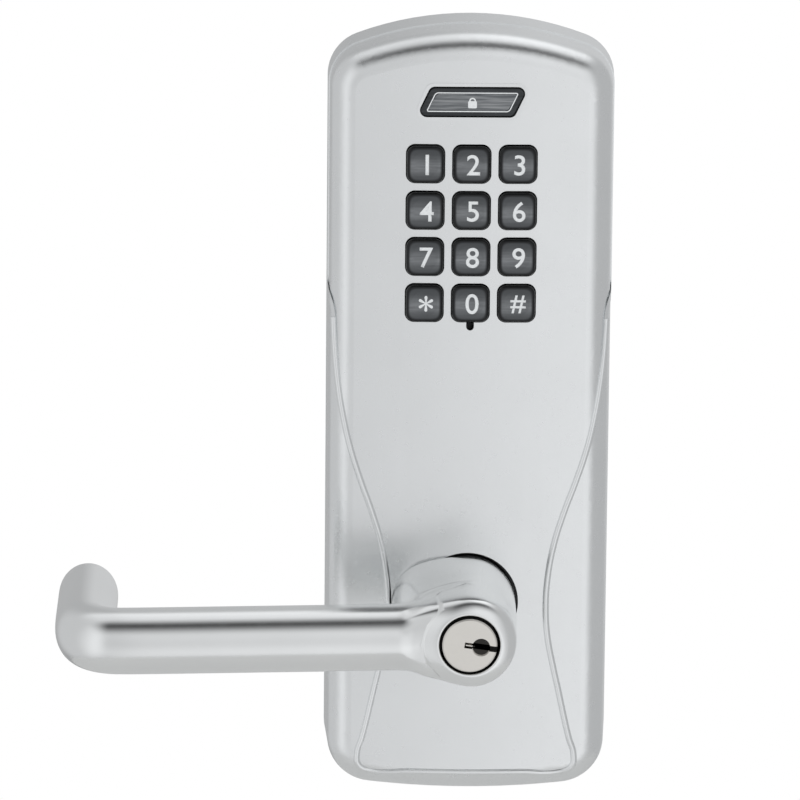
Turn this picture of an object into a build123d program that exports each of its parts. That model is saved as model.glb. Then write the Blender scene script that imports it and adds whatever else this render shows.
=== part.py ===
from build123d import *
import os
from math import cos, pi, radians, sin, sqrt, tan

os.makedirs("parts", exist_ok=True)

# Keypad smart lock, exterior trim, in millimetres.
# +Z is up, +X is to the right of a person facing the door, and the trim faces -Y.
# The door face is the plane Y = 0 and the lever axis is the Y axis.
# A depth is a distance out from the door face, towards -Y.

# Escutcheon
body_width = 88.9
body_height = 244.8
axis_above_bottom = 63.4
body_depth = 30.0
body_wall = 2.5
draft = 3.0
face_crown_radius = 600.0
front_edge_radius = 8.0
top_arc_radius = 100.0
bottom_arc_radius = 300.0
top_corner_radius = 14.0
bottom_corner_radius = 15.5

# Raised bead round the waisted lower panel and the top edge
bead_width = 1.1
bead_rise = 0.35
bead_depth = 12.5
waist_half_width = 25.1
bead_bottom_half_width = 36.2
bead_bottom_margin = 7.3
bead_bottom_bow = 0.6
bead_corner_radius = 5.0

# Back of the escutcheon
gasket_thickness = 1.5
gasket_inset = 0.4
gasket_band = 7.0
backplate_thickness = 2.0
fit_gap = 0.3

# Keypad
key_pitch_x = 14.2
key_pitch_z = 14.62
key_columns = 3
key_rows = 4
first_row_height = 95.9
aperture_width = 12.1
aperture_height = 12.4
aperture_radius = 2.9
key_gap = 0.4
key_proud = 1.6
key_edge_radius = 0.9
key_dish = 0.3
key_flange_rim = 0.6
key_flange_thickness = 1.2
key_travel = 1.2
stem_radius = 2.0
stem_length = 1.6
notch_width = 2.4
notch_length = 1.7

# Status button
badge_width = 30.2
badge_height = 9.6
badge_shear = 4.5
badge_height_above_keys = 19.5
badge_radius = 2.2
badge_rim_width = 1.0
badge_rim_rise = 0.3

# Keypad electronics
board_width = 52.0
board_height = 89.0
board_thickness = 1.6
board_depth = 19.0
board_rise = 4.8
dome_radius = 2.6
dome_height = 0.6
mat_thickness = 1.0
mat_boss_radius = 3.0
led_size = 2.2
frame_wall = 2.0
board_screw_radius = 1.25
board_screw_length = 7.0

# Lever
lever_droop = 1.2
neck_radius = 14.6
neck_wall = 2.0
hub_front = 78.0
hub_front_wall = 3.5
hub_edge_radius = 4.8
arm_height = 20.6
arm_thickness = 19.0
arm_setback = 0.7
arm_reach = 127.8
arm_bend_radius = 12.0
return_end_depth = 14.0
return_edge_radius = 3.0
flare_start = 25.0
boot_offset = 8.6
boot_clearance = 0.6
lever_screw_radius = 2.0
lever_screw_length = 6.0

# Lever bearing
running_gap = 0.3
bushing_wall = 2.45
bushing_length = 5.8
bearing_boss_wall = 2.5
face_hole_gap = 1.3
washer_thickness = 0.8
ring_thickness = 1.2
ring_groove = 0.8
end_play = 0.15

# Drive hub, spindle and return spring
flange_thickness = 2.5
boss_length = 9.5
spindle_size = 8.0
spindle_reach = 45.0
spindle_engagement = 4.5
spring_wire_radius = 0.9
spring_turns = 3.0
spring_pitch = 1.9
peg_radius = 1.0
peg_length = 3.2
cage_wall = 1.6
cage_height = 14.5
cage_floor = 0.6
lever_limit = 45.0
lug_half_angle = 9.0

# Clutch
collar_length = 7.0
collar_wall = 3.3
collar_groove_depth = 2.2
collar_groove_width = 2.0
dog_radius = 1.4
dog_length = 2.2
dog_gap = 0.8
fork_thickness = 1.6
fork_width = 10.0
fork_nut_radius = 4.0
fork_nut_length = 4.0
motor_radius = 5.0
motor_length = 10.0
screw_radius = 2.0
screw_length = 11.5
bracket_thickness = 1.2
bracket_width = 7.0
bracket_foot = 6.0
motor_screw_radius = 1.1

# Key cylinder
plug_radius = 6.35
plug_back = 45.0
plug_head_radius = 8.4
plug_head_thickness = 2.8
plug_proud = 0.5
plug_head_gap = 0.9
shell_wall = 2.15
shear_gap = 0.1
pin_tower_width = 7.9
keyway_tilt = 9.0
keyway_width = 1.8
keyway_start = -1.6
keyway_dish_radius = 2.8
keyway_dish_x = 3.5
pin_radius = 1.4
pin_pitch = 4.0
pin_count = 5
first_pin_depth = 51.0
driver_length = 2.8
tailpiece_width = 6.0
tailpiece_thickness = 1.6
clip_thickness = 0.8
holder_length = 8.0

# Mounting
post_spacing = 69.85
post_radius = 4.5
post_bore_radius = 2.5
post_bore_length = 18.0
case_screw_radius = 1.5
case_screw_length = 12.0
case_boss_radius = 4.0
grommet_height = 64.0
grommet_radius = 8.0
grommet_wall = 3.0
grommet_lip = 1.5
grommet_lip_thickness = 1.2

# Worked out from the values above
body_top = body_height - axis_above_bottom
body_bottom = -axis_above_bottom
inner_depth = body_depth - body_wall
plate_front = gasket_thickness + backplate_thickness
keypad_middle = first_row_height + key_pitch_z * (key_rows - 1) / 2
badge_z = first_row_height + key_pitch_z * (key_rows - 1) + badge_height_above_keys
board_middle = keypad_middle + board_rise
board_front = board_depth + board_thickness
mat_back = board_front + dome_height + 0.1
mat_front = mat_back + mat_thickness
key_reach_x = key_pitch_x * (key_columns - 1) / 2 + aperture_width / 2 + key_flange_rim
key_flange_front = inner_depth - key_reach_x**2 / (2 * face_crown_radius) - fit_gap
frame_front = inner_depth - board_width**2 / (8 * face_crown_radius) - fit_gap
key_flange_back = key_flange_front - key_flange_thickness
stem_end = key_flange_back - stem_length
mat_boss_front = stem_end - key_travel - 0.15
# Lever bearing, from the face backwards
bushing_inner_radius = neck_radius + running_gap
bushing_outer_radius = bushing_inner_radius + bushing_wall
boss_bore_radius = bushing_outer_radius + fit_gap / 2
bearing_boss_radius = boss_bore_radius + bearing_boss_wall
face_hole_radius = neck_radius + face_hole_gap
bushing_back = inner_depth - 0.1 - bushing_length
washer_back = bushing_back - washer_thickness - 0.05
ring_back = washer_back - ring_thickness - end_play
# Clutch and drive, from the backplate forwards
collar_bore = spindle_size + 0.3
collar_radius = spindle_size * sqrt(0.5) + collar_wall
collar_groove_radius = collar_radius - collar_groove_depth
dog_circle_radius = collar_radius - dog_radius - 0.2
collar_back = plate_front + 0.7
collar_front = collar_back + collar_length
groove_middle = (collar_back + collar_front) / 2
plate_hole_radius = collar_radius + 1.5
flange_depth = collar_front + dog_gap
flange_front = flange_depth + flange_thickness
flange_radius = bearing_boss_radius + 0.4
neck_back = flange_front + 0.1
neck_bore_radius = neck_radius - neck_wall
spindle_front = flange_front + spindle_engagement
spring_mean_radius = flange_radius + running_gap + spring_wire_radius
spring_back = flange_front + 0.4 + spring_wire_radius
cage_radius = spring_mean_radius + spring_wire_radius + 1.1
cage_outer_radius = cage_radius + cage_wall
stop_inner_radius = flange_radius + 0.8
lug_radius = cage_radius - 0.4
peg_circle_radius = flange_radius - peg_radius - 0.1
fork_bore_radius = collar_groove_radius + running_gap
screw_back = plate_front + 0.4
motor_x = cage_outer_radius + motor_radius + 1.3
motor_back = screw_back + screw_length + 0.1
bracket_span = 2 * fork_nut_radius + 4
# Key cylinder, in the hub of the lever
arm_depth = hub_front - arm_setback - arm_thickness / 2
boot_back = body_depth + boot_clearance
boot_length = arm_depth - 2 - boot_back
shell_back = plug_back + clip_thickness + 0.2
shell_radius = plug_radius + shear_gap + shell_wall
plug_head_back = hub_front + plug_proud - plug_head_thickness
shell_front = plug_head_back - 0.2
cylinder_hole_radius = plug_head_radius + plug_head_gap
pin_tower_reach = neck_bore_radius - 0.4
pin_tower_front = hub_front - hub_front_wall - 0.3
tailpiece_end = spindle_front + 1
cylinder_turn = lever_droop - keyway_tilt
driver_start = plug_radius + shear_gap + 0.02

def front_plane(depth, x=0.0, z=0.0):
    """Plane parallel to the door, facing out, with local x along +X and local y along +Z."""
    return Plane(origin=(x, -depth, z), x_dir=(1, 0, 0), z_dir=(0, -1, 0))


def turned_plane(depth, angle):
    """Front plane on the lever axis, turned anticlockwise about it by an angle in degrees."""
    return Plane(
        origin=(0, -depth, 0), x_dir=(cos(radians(angle)), 0, sin(radians(angle))), z_dir=(0, -1, 0)
    )


def lever_plane(depth):
    """Front plane that follows the droop of the lever."""
    return turned_plane(depth, lever_droop)


def lever_screw_plane(drop):
    """Plane across the screw that locks the lever to its drive hub, facing up."""
    return Plane(origin=(0, -(flange_front + boss_length / 3), -drop), x_dir=(1, 0, 0), z_dir=(0, 0, 1))


def finish(builder, name):
    """Label a finished sub-part and write its file."""
    builder.part.label = name
    export_step(builder.part, f"parts/{name}.step")


# ---------------------------------------------------------------------------
# Escutcheon shapes
# ---------------------------------------------------------------------------


def escutcheon_outline(grow):
    """Outline of the escutcheon at the door, with arched top and bottom edges."""
    half = body_width / 2 + grow
    top = body_top + grow
    bottom = body_bottom - grow
    top_drop = top_arc_radius - sqrt(top_arc_radius**2 - half**2)
    bottom_rise = bottom_arc_radius - sqrt(bottom_arc_radius**2 - half**2)
    with BuildSketch() as outline:
        with BuildLine():
            ThreePointArc((-half, top - top_drop), (0, top), (half, top - top_drop))
            Line((half, top - top_drop), (half, bottom + bottom_rise))
            ThreePointArc((half, bottom + bottom_rise), (0, bottom), (-half, bottom + bottom_rise))
            Line((-half, bottom + bottom_rise), (-half, top - top_drop))
        make_face()
        fillet(outline.vertices().group_by(Axis.Y)[-1], radius=top_corner_radius + grow)
        fillet(outline.vertices().group_by(Axis.Y)[0], radius=bottom_corner_radius + grow)
    return outline.sketch


def housing_form(grow):
    """Closed drafted and crowned form of the escutcheon, grown outwards on every face."""
    with BuildPart() as form:
        with BuildSketch(front_plane(0)):
            add(escutcheon_outline(grow))
        extrude(amount=body_depth + grow + 1, taper=draft)
        with BuildSketch(Plane.XY.offset(body_bottom - body_wall - grow)):
            with Locations((0, face_crown_radius - body_depth - grow)):
                Circle(face_crown_radius)
        extrude(amount=body_height + 2 * (body_wall + grow), mode=Mode.INTERSECT)
        fillet(form.faces().sort_by(Axis.Y)[0].edges(), radius=front_edge_radius + grow)
    return form.part


def shifted_curve(curve, distance):
    """Spline at a constant distance to the left of a planar curve."""
    steps = 8
    points = []
    for step in range(steps + 1):
        along = curve % (step / steps)
        points.append(curve @ (step / steps) + Vector(-along.Y, along.X) * distance)
    return Spline(*points, tangents=[curve % 0, curve % 1])


def bead_region(inset):
    """Waisted panel below the keypad, open upwards past the edges of the escutcheon."""
    past = body_width / 2 + 15
    low_corner = (bead_bottom_half_width, body_bottom + bead_bottom_margin + bead_bottom_bow)
    waist = (waist_half_width, -2)
    bulge = [(28.7, 23.5), (35.2, 42.4), (40.0, 62), (42.4, 84), (body_width / 2 + 1.5, 100)]
    with BuildLine():
        upper_edge = Spline(waist, *bulge, tangents=[(0, 1), (0.6, 1)])
        lower_edge = Spline(waist, (28.6, -25), low_corner, tangents=[(0, -1), (0.35, -1)])
    with BuildSketch() as region:
        with BuildLine():
            upper = shifted_curve(upper_edge, inset)
            lower = shifted_curve(lower_edge, -inset)
            start = upper @ 1
            Polyline(start, (past, start.Y), (past, body_top + 15), (0, body_top + 15))
            corner = lower @ 1
            middle = low_corner[1] - bead_bottom_bow + inset
            ThreePointArc(corner, (corner.X / 2, middle + bead_bottom_bow / 4), (0, middle))
            mirror(about=Plane.YZ)
        make_face()
        corners = [v for v in region.vertices() if abs(v.Y - corner.Y) < 0.01 and abs(v.X) > 1]
        fillet(corners, radius=bead_corner_radius - inset)
    return region.sketch


def bead_form():
    """Band that stands proud of the escutcheon along the bead."""
    skin = housing_form(bead_rise)
    outer = bead_region(0)
    inner = bead_region(bead_width)
    with BuildPart() as band:
        with BuildSketch(front_plane(bead_depth)):
            add(outer)
        extrude(amount=body_depth)
        with BuildSketch(front_plane(bead_depth + bead_width)):
            add(inner)
        extrude(amount=body_depth, mode=Mode.SUBTRACT)
        add(skin, mode=Mode.INTERSECT)
    return band.part


def key_positions():
    """Names and centres of the keys, row by row from the top left."""
    names = ["1", "2", "3", "4", "5", "6", "7", "8", "9", "star", "0", "hash"]
    places = []
    for index, name in enumerate(names):
        row, column = divmod(index, key_columns)
        x = (column - (key_columns - 1) / 2) * key_pitch_x
        z = first_row_height + (key_rows - 1 - row) * key_pitch_z
        places.append((name, x, z))
    return places


def badge_outline(grow):
    """Leaning four-sided outline of the status button, about its own centre."""
    half = badge_width / 2 + grow
    rise = badge_height / 2 + grow
    lean = badge_shear / 2
    with BuildSketch() as outline:
        Polygon(
            (-half - lean, -rise), (half - lean, -rise), (half + lean, rise), (-half + lean, rise), align=None
        )
        fillet(outline.vertices(), radius=badge_radius + grow)
    return outline.sketch


case_boss_places = [
    (side * (body_width / 2 - body_wall - case_boss_radius - 2.5), z)
    for side in (-1, 1)
    for z in (body_bottom + 20, 76, body_top - 28)
]
post_places = [(0, post_spacing / 2), (0, -post_spacing / 2)]
motor_screw_places = [
    (motor_x, side * (bracket_span / 2 + bracket_thickness + bracket_foot / 2)) for side in (-1, 1)
]

# ---------------------------------------------------------------------------
# Case
# ---------------------------------------------------------------------------

outer_skin = housing_form(0)
inner_skin = housing_form(-body_wall)
bead_band = bead_form()
badge_sketch = badge_outline(0)
badge_rim_sketch = badge_outline(badge_rim_width)
badge_flange_sketch = badge_outline(key_flange_rim)
badge_cap_sketch = badge_outline(-key_gap)

with BuildPart() as front_housing:
    add(outer_skin)
    add(bead_band)
    add(inner_skin, mode=Mode.SUBTRACT)
    # Thin frame line round the status button
    with BuildSketch(front_plane(inner_depth + 1, z=badge_z)):
        add(badge_rim_sketch)
    extrude(amount=body_wall - 1 + badge_rim_rise)
    with BuildSketch(front_plane(inner_depth - 1, z=badge_z)):
        add(badge_sketch)
    extrude(amount=2 * body_wall, mode=Mode.SUBTRACT)
    # Bosses for the case screws, the posts and the lever bearing
    with BuildSketch(front_plane(plate_front + fit_gap)):
        with Locations(case_boss_places):
            Circle(case_boss_radius)
    extrude(amount=inner_depth - plate_front - fit_gap)
    with BuildSketch(front_plane(plate_front + fit_gap)):
        with Locations(post_places):
            Circle(post_radius + 2)
    extrude(amount=body_depth - 1 - plate_front - fit_gap)
    with BuildSketch(front_plane(washer_back)):
        Circle(bearing_boss_radius)
    extrude(amount=body_depth - 1 - washer_back)
    # Openings in the face
    with BuildSketch(front_plane(washer_back - 1)):
        Circle(boss_bore_radius)
    extrude(amount=inner_depth - washer_back + 1, mode=Mode.SUBTRACT)
    with BuildSketch(front_plane(washer_back)):
        Circle(face_hole_radius)
    extrude(amount=body_depth, mode=Mode.SUBTRACT)
    with BuildSketch(front_plane(inner_depth - 1)):
        for _, x, z in key_positions():
            with Locations((x, z)):
                RectangleRounded(aperture_width, aperture_height, aperture_radius)
        with Locations((0, first_row_height - aperture_height / 2 - notch_length / 2)):
            SlotOverall(notch_length * 2, notch_width, rotation=90)
    extrude(amount=2 * body_wall, mode=Mode.SUBTRACT)
    # Blind bores for the case screws and the posts
    with BuildSketch(front_plane(0)):
        with Locations(case_boss_places):
            Circle(case_screw_radius)
    extrude(amount=plate_front + case_screw_length + 1, mode=Mode.SUBTRACT)
    with BuildSketch(front_plane(0)):
        with Locations(post_places):
            Circle(post_radius)
    extrude(amount=inner_depth - 1, mode=Mode.SUBTRACT)
    # The case stands on the gasket
    with BuildSketch(front_plane(-1)):
        Rectangle(3 * body_width, 3 * body_height)
    extrude(amount=1 + gasket_thickness, mode=Mode.SUBTRACT)
finish(front_housing, "front_housing")

with BuildPart() as mounting_gasket:
    with BuildSketch(front_plane(0)):
        add(escutcheon_outline(-gasket_inset))
        add(escutcheon_outline(-gasket_band), mode=Mode.SUBTRACT)
        with Locations(case_boss_places):
            Circle(case_screw_radius * 2.2, mode=Mode.SUBTRACT)
    extrude(amount=gasket_thickness)
finish(mounting_gasket, "mounting_gasket")

plate_shrink = body_wall + fit_gap + plate_front * tan(radians(draft))
with BuildPart() as backplate:
    with BuildSketch(front_plane(gasket_thickness)):
        add(escutcheon_outline(-plate_shrink))
        Circle(plate_hole_radius, mode=Mode.SUBTRACT)
        with Locations(post_places):
            Circle(post_radius + fit_gap / 2, mode=Mode.SUBTRACT)
        with Locations(case_boss_places):
            Circle(case_screw_radius + fit_gap / 2, mode=Mode.SUBTRACT)
        with Locations((0, grommet_height)):
            Circle(grommet_radius, mode=Mode.SUBTRACT)
        with Locations(motor_screw_places):
            Circle(motor_screw_radius + 0.1, mode=Mode.SUBTRACT)
    extrude(amount=backplate_thickness)
    # Pressed stiffening rib round the cable hole side
    with BuildSketch(front_plane(plate_front)):
        with Locations((0, board_middle)):
            SlotOverall(board_height - 20, 6, rotation=90)
    extrude(amount=1.2)
finish(backplate, "backplate")

with BuildPart() as mounting_posts:
    with BuildSketch(front_plane(0)):
        with Locations(post_places):
            Circle(post_radius - 0.1)
    extrude(amount=inner_depth - 1.2)
    with BuildSketch(front_plane(0)):
        with Locations(post_places):
            Circle(post_bore_radius)
    extrude(amount=post_bore_length, mode=Mode.SUBTRACT)
    chamfer(mounting_posts.faces().sort_by(Axis.Y)[-2:].edges(), length=0.5)
finish(mounting_posts, "mounting_posts")

with BuildPart() as case_screws:
    with BuildSketch(front_plane(gasket_thickness - 1.3)):
        with Locations(case_boss_places):
            Circle(case_screw_radius * 1.9)
    extrude(amount=1.3)
    with BuildSketch(front_plane(gasket_thickness)):
        with Locations(case_boss_places):
            Circle(case_screw_radius - 0.1)
    extrude(amount=backplate_thickness + case_screw_length)
    with BuildSketch(front_plane(gasket_thickness - 1.3)):
        with Locations(case_boss_places):
            Rectangle(2.6, 0.6)
            Rectangle(0.6, 2.6)
    extrude(amount=0.8, mode=Mode.SUBTRACT)
finish(case_screws, "case_screws")

with BuildPart() as cable_grommet:
    for lip_back in (gasket_thickness - grommet_lip_thickness, plate_front):
        with BuildSketch(front_plane(lip_back, z=grommet_height)):
            Circle(grommet_radius + grommet_lip)
        extrude(amount=grommet_lip_thickness)
    with BuildSketch(front_plane(gasket_thickness, z=grommet_height)):
        Circle(grommet_radius - 0.1)
    extrude(amount=backplate_thickness)
    with BuildSketch(front_plane(0, z=grommet_height)):
        Circle(grommet_radius - grommet_wall)
    extrude(amount=plate_front + 2 * grommet_lip_thickness, mode=Mode.SUBTRACT)
finish(cable_grommet, "cable_grommet")

# ---------------------------------------------------------------------------
# Keypad
# ---------------------------------------------------------------------------

dish_radius = (aperture_width - 4) ** 2 / (8 * key_dish)


def make_key(name, x, z):
    """One key: a dished cap, its retaining flange and the stem that works the switch."""
    front = body_depth + key_proud
    width = aperture_width - 2 * key_gap
    height = aperture_height - 2 * key_gap
    with BuildPart() as key:
        with BuildSketch(front_plane(key_flange_front, x, z)):
            RectangleRounded(width, height, aperture_radius - key_gap)
        extrude(amount=front - key_flange_front)
        fillet(key.faces().sort_by(Axis.Y)[0].edges(), radius=key_edge_radius)
        with Locations(Location((x, -front - dish_radius + key_dish, z))):
            Sphere(dish_radius, mode=Mode.SUBTRACT)
        with BuildSketch(front_plane(key_flange_back, x, z)):
            RectangleRounded(
                aperture_width + 2 * key_flange_rim,
                aperture_height + 2 * key_flange_rim,
                aperture_radius + key_flange_rim,
            )
        extrude(amount=key_flange_thickness)
        with BuildSketch(front_plane(stem_end, x, z)):
            Circle(stem_radius)
        extrude(amount=stem_length + 0.2)
    finish(key, f"key_{name}")


for key_name, key_x, key_z in key_positions():
    make_key(key_name, key_x, key_z)

with BuildPart() as status_button:
    with BuildSketch(front_plane(key_flange_front, z=badge_z)):
        add(badge_cap_sketch)
    extrude(amount=body_depth + 0.5 - key_flange_front)
    fillet(status_button.faces().sort_by(Axis.Y)[0].edges(), radius=0.4)
    with BuildSketch(front_plane(key_flange_back, z=badge_z)):
        add(badge_flange_sketch)
    extrude(amount=key_flange_thickness)
    with BuildSketch(front_plane(stem_end, z=badge_z)):
        Circle(stem_radius)
    extrude(amount=stem_length + 0.2)
finish(status_button, "status_button")

switch_places = [(x, z) for _, x, z in key_positions()] + [(0, badge_z)]
led_places = [
    (side * key_pitch_x / 2, first_row_height + (row + 0.5) * key_pitch_z)
    for side in (-1, 1)
    for row in range(key_rows - 1)
]
pipe_places = [(side * badge_width / 4, badge_z) for side in (-1, 1)]
board_screw_places = [
    (side * (board_width / 2 - 3), board_middle + end * (board_height / 2 - 3))
    for side in (-1, 1)
    for end in (-1, 1)
]

with BuildPart() as keypad_board:
    with BuildSketch(front_plane(board_depth, z=board_middle)):
        RectangleRounded(board_width, board_height, 4)
    extrude(amount=board_thickness)
    with BuildSketch(front_plane(board_depth)):
        with Locations(board_screw_places):
            Circle(board_screw_radius + 0.2)
    extrude(amount=board_thickness, mode=Mode.SUBTRACT)
finish(keypad_board, "keypad_board")

with BuildPart() as keypad_frame:
    with BuildSketch(front_plane(board_front, z=board_middle)):
        RectangleRounded(board_width, board_height, 4)
        RectangleRounded(
            board_width - 2 * frame_wall, board_height - 2 * frame_wall, 4 - frame_wall / 2, mode=Mode.SUBTRACT
        )
    extrude(amount=frame_front - board_front)
    with BuildSketch(front_plane(board_front)):
        with Locations(board_screw_places):
            Circle(2.8)
    extrude(amount=frame_front - board_front - 0.6)
    with BuildSketch(front_plane(board_front)):
        with Locations(board_screw_places):
            Circle(board_screw_radius)
    extrude(amount=board_screw_length - 2, mode=Mode.SUBTRACT)
    with BuildSketch(front_plane(board_front, z=board_middle)):
        RectangleRounded(board_width, board_height, 4)
    extrude(amount=frame_front - board_front, mode=Mode.INTERSECT)
finish(keypad_frame, "keypad_frame")

with BuildPart() as board_screws:
    with BuildSketch(front_plane(board_depth - 1.2)):
        with Locations(board_screw_places):
            Circle(board_screw_radius * 1.9)
    extrude(amount=1.2)
    with BuildSketch(front_plane(board_depth)):
        with Locations(board_screw_places):
            Circle(board_screw_radius - 0.05)
    extrude(amount=board_thickness + board_screw_length - 2.5)
    with BuildSketch(front_plane(board_depth - 1.2)):
        with Locations(board_screw_places):
            Rectangle(2.4, 0.5)
            Rectangle(0.5, 2.4)
    extrude(amount=0.7, mode=Mode.SUBTRACT)
finish(board_screws, "board_screws")

with BuildPart() as dome_switches:
    with BuildSketch(front_plane(board_front)):
        with Locations(switch_places):
            Circle(dome_radius)
    extrude(amount=dome_height, taper=20)
finish(dome_switches, "dome_switches")

with BuildPart() as backlight_leds:
    with BuildSketch(front_plane(board_front)):
        with Locations(led_places):
            Rectangle(led_size, led_size * 0.7)
        with Locations(pipe_places):
            Rectangle(led_size, led_size * 0.7)
    extrude(amount=dome_height)
finish(backlight_leds, "backlight_leds")

mat_width = board_width - 2 * frame_wall - 1
mat_height = board_height - 2 * frame_wall - 1
with BuildPart() as keymat:
    with BuildSketch(front_plane(mat_back, z=board_middle)):
        RectangleRounded(mat_width, mat_height, 3)
    extrude(amount=mat_thickness)
    with BuildSketch(front_plane(mat_front)):
        with Locations(switch_places):
            Circle(mat_boss_radius)
    extrude(amount=mat_boss_front - mat_front, taper=15)
    with BuildSketch(front_plane(mat_back)):
        with Locations(pipe_places):
            Circle(2.4)
        with Locations(board_screw_places):
            Circle(3.2)
    extrude(amount=mat_thickness, mode=Mode.SUBTRACT)
finish(keymat, "keymat")

with BuildPart() as light_pipes:
    with BuildSketch(front_plane(mat_back)):
        with Locations(pipe_places):
            Circle(1.9)
    extrude(amount=key_flange_back - key_travel - 0.3 - mat_back)
finish(light_pipes, "light_pipes")

with BuildPart() as buzzer:
    with BuildSketch(front_plane(board_depth - 3, 12, board_middle + 22)):
        Circle(5)
    extrude(amount=3)
    with BuildSketch(front_plane(board_depth - 3, 12, board_middle + 22)):
        Circle(0.8)
    extrude(amount=1.5, mode=Mode.SUBTRACT)
finish(buzzer, "buzzer")

with BuildPart() as controller_chip:
    with BuildSketch(front_plane(board_depth - 1.2, -6, board_middle)):
        Rectangle(10, 10)
    extrude(amount=1.2)
finish(controller_chip, "controller_chip")

with BuildPart() as harness_socket:
    with BuildSketch(front_plane(board_depth - 5, 0, board_middle - board_height / 2 + 10)):
        Rectangle(14, 5.5)
    extrude(amount=5)
    with BuildSketch(front_plane(board_depth - 5, 0, board_middle - board_height / 2 + 10)):
        Rectangle(12, 3.7)
    extrude(amount=4, mode=Mode.SUBTRACT)
finish(harness_socket, "harness_socket")

# ---------------------------------------------------------------------------
# Lever and its bearing
# ---------------------------------------------------------------------------

with BuildPart() as lever_bushing:
    with BuildSketch(front_plane(bushing_back)):
        Circle(bushing_outer_radius)
        Circle(bushing_inner_radius, mode=Mode.SUBTRACT)
    extrude(amount=bushing_length)
finish(lever_bushing, "lever_bushing")

with BuildPart() as thrust_washer:
    with BuildSketch(front_plane(washer_back)):
        Circle(bushing_outer_radius - 0.1)
        Circle(bushing_inner_radius, mode=Mode.SUBTRACT)
    extrude(amount=washer_thickness)
finish(thrust_washer, "thrust_washer")

with BuildPart() as retaining_ring:
    with BuildSketch(lever_plane(ring_back)):
        Circle(bushing_outer_radius - 0.3)
        Circle(neck_radius - ring_groove, mode=Mode.SUBTRACT)
        with Locations((0, -neck_radius)):
            Rectangle(9, neck_radius, mode=Mode.SUBTRACT)
    extrude(amount=ring_thickness)
finish(retaining_ring, "retaining_ring")

with BuildPart() as lever_screw:
    with BuildSketch(lever_screw_plane(neck_radius - 0.2)):
        Circle(lever_screw_radius - 0.05)
    extrude(amount=lever_screw_length)
    with BuildSketch(lever_screw_plane(neck_radius - 0.2)):
        RegularPolygon(1.1, 6)
    extrude(amount=2, mode=Mode.SUBTRACT)
finish(lever_screw, "lever_screw")

arm_path_plane = Plane(
    origin=(0, 0, 0),
    x_dir=(cos(radians(lever_droop)), 0, sin(radians(lever_droop))),
    z_dir=(-sin(radians(lever_droop)), 0, cos(radians(lever_droop))),
)


def arm_section(x, half_height, front, back):
    """Oval section across the arm at a distance from the lever axis."""
    middle = (front + back) / 2
    origin = arm_path_plane.from_local_coords((x, -middle, 0))
    section_plane = Plane(origin=origin, x_dir=arm_path_plane.y_dir, z_dir=-arm_path_plane.x_dir)
    with BuildSketch(section_plane) as section:
        Ellipse((front - back) / 2, half_height)
    return section.sketch


arm_front = arm_depth + arm_thickness / 2
arm_back = arm_depth - arm_thickness / 2
return_x = -(arm_reach - arm_thickness / 2)
flare_sections = [
    arm_section(-flare_start, arm_height / 2, arm_front, arm_back),
    arm_section(-20.5, arm_height / 2 + 0.5, arm_front + 0.05, arm_back - 1.3),
    arm_section(-16.0, arm_height / 2 + 1.8, arm_front + 0.1, arm_back - 4.4),
    arm_section(-11.5, neck_radius - 1.1, arm_front + 0.15, arm_back - 8.5),
    arm_section(-6.0, neck_radius - 0.2, arm_front + 0.2, arm_back - 12.0),
]

with BuildPart() as lever_handle:
    # Arm and its return towards the door
    with BuildLine(arm_path_plane) as arm_path:
        FilletPolyline(
            (-flare_start, -arm_depth), (return_x, -arm_depth), (return_x, -return_end_depth),
            radius=arm_bend_radius,
        )
    add(flare_sections[0])
    sweep(path=arm_path.line)
    fillet(lever_handle.faces().sort_by(Axis.Y)[-1].edges(), radius=return_edge_radius)
    # Flare from the arm into the hub
    for section in flare_sections:
        add(section)
    loft()
    # Hub and neck
    with BuildSketch(lever_plane(neck_back)):
        Circle(neck_radius)
    extrude(amount=hub_front - neck_back)
    # Boot behind the arm, just clear of the escutcheon
    with BuildSketch(lever_plane(boot_back)):
        Circle(neck_radius)
        with Locations((-boot_offset, 0)):
            Circle(neck_radius)
        with Locations((-boot_offset / 2, 0)):
            Rectangle(boot_offset, 2 * neck_radius)
    extrude(amount=boot_length)
    hub_rim = lever_handle.faces().sort_by(Axis.Y)[0].edges().filter_by(GeomType.CIRCLE)
    fillet(hub_rim, radius=hub_edge_radius)
    with BuildSketch(lever_plane(neck_back)):
        Circle(neck_bore_radius)
    extrude(amount=hub_front - hub_front_wall - neck_back, mode=Mode.SUBTRACT)
    with BuildSketch(lever_plane(neck_back)):
        Circle(cylinder_hole_radius)
    extrude(amount=hub_front, mode=Mode.SUBTRACT)
    # Groove for the retaining ring
    with BuildSketch(lever_plane(ring_back)):
        Circle(neck_radius + 1)
        Circle(neck_radius - ring_groove, mode=Mode.SUBTRACT)
    extrude(amount=ring_thickness, mode=Mode.SUBTRACT)
    # Hole for the lever screw
    with BuildSketch(lever_screw_plane(neck_radius + 2)):
        Circle(lever_screw_radius)
    extrude(amount=lever_screw_length, mode=Mode.SUBTRACT)
finish(lever_handle, "lever_handle")

# ---------------------------------------------------------------------------
# Drive behind the face
# ---------------------------------------------------------------------------

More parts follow.
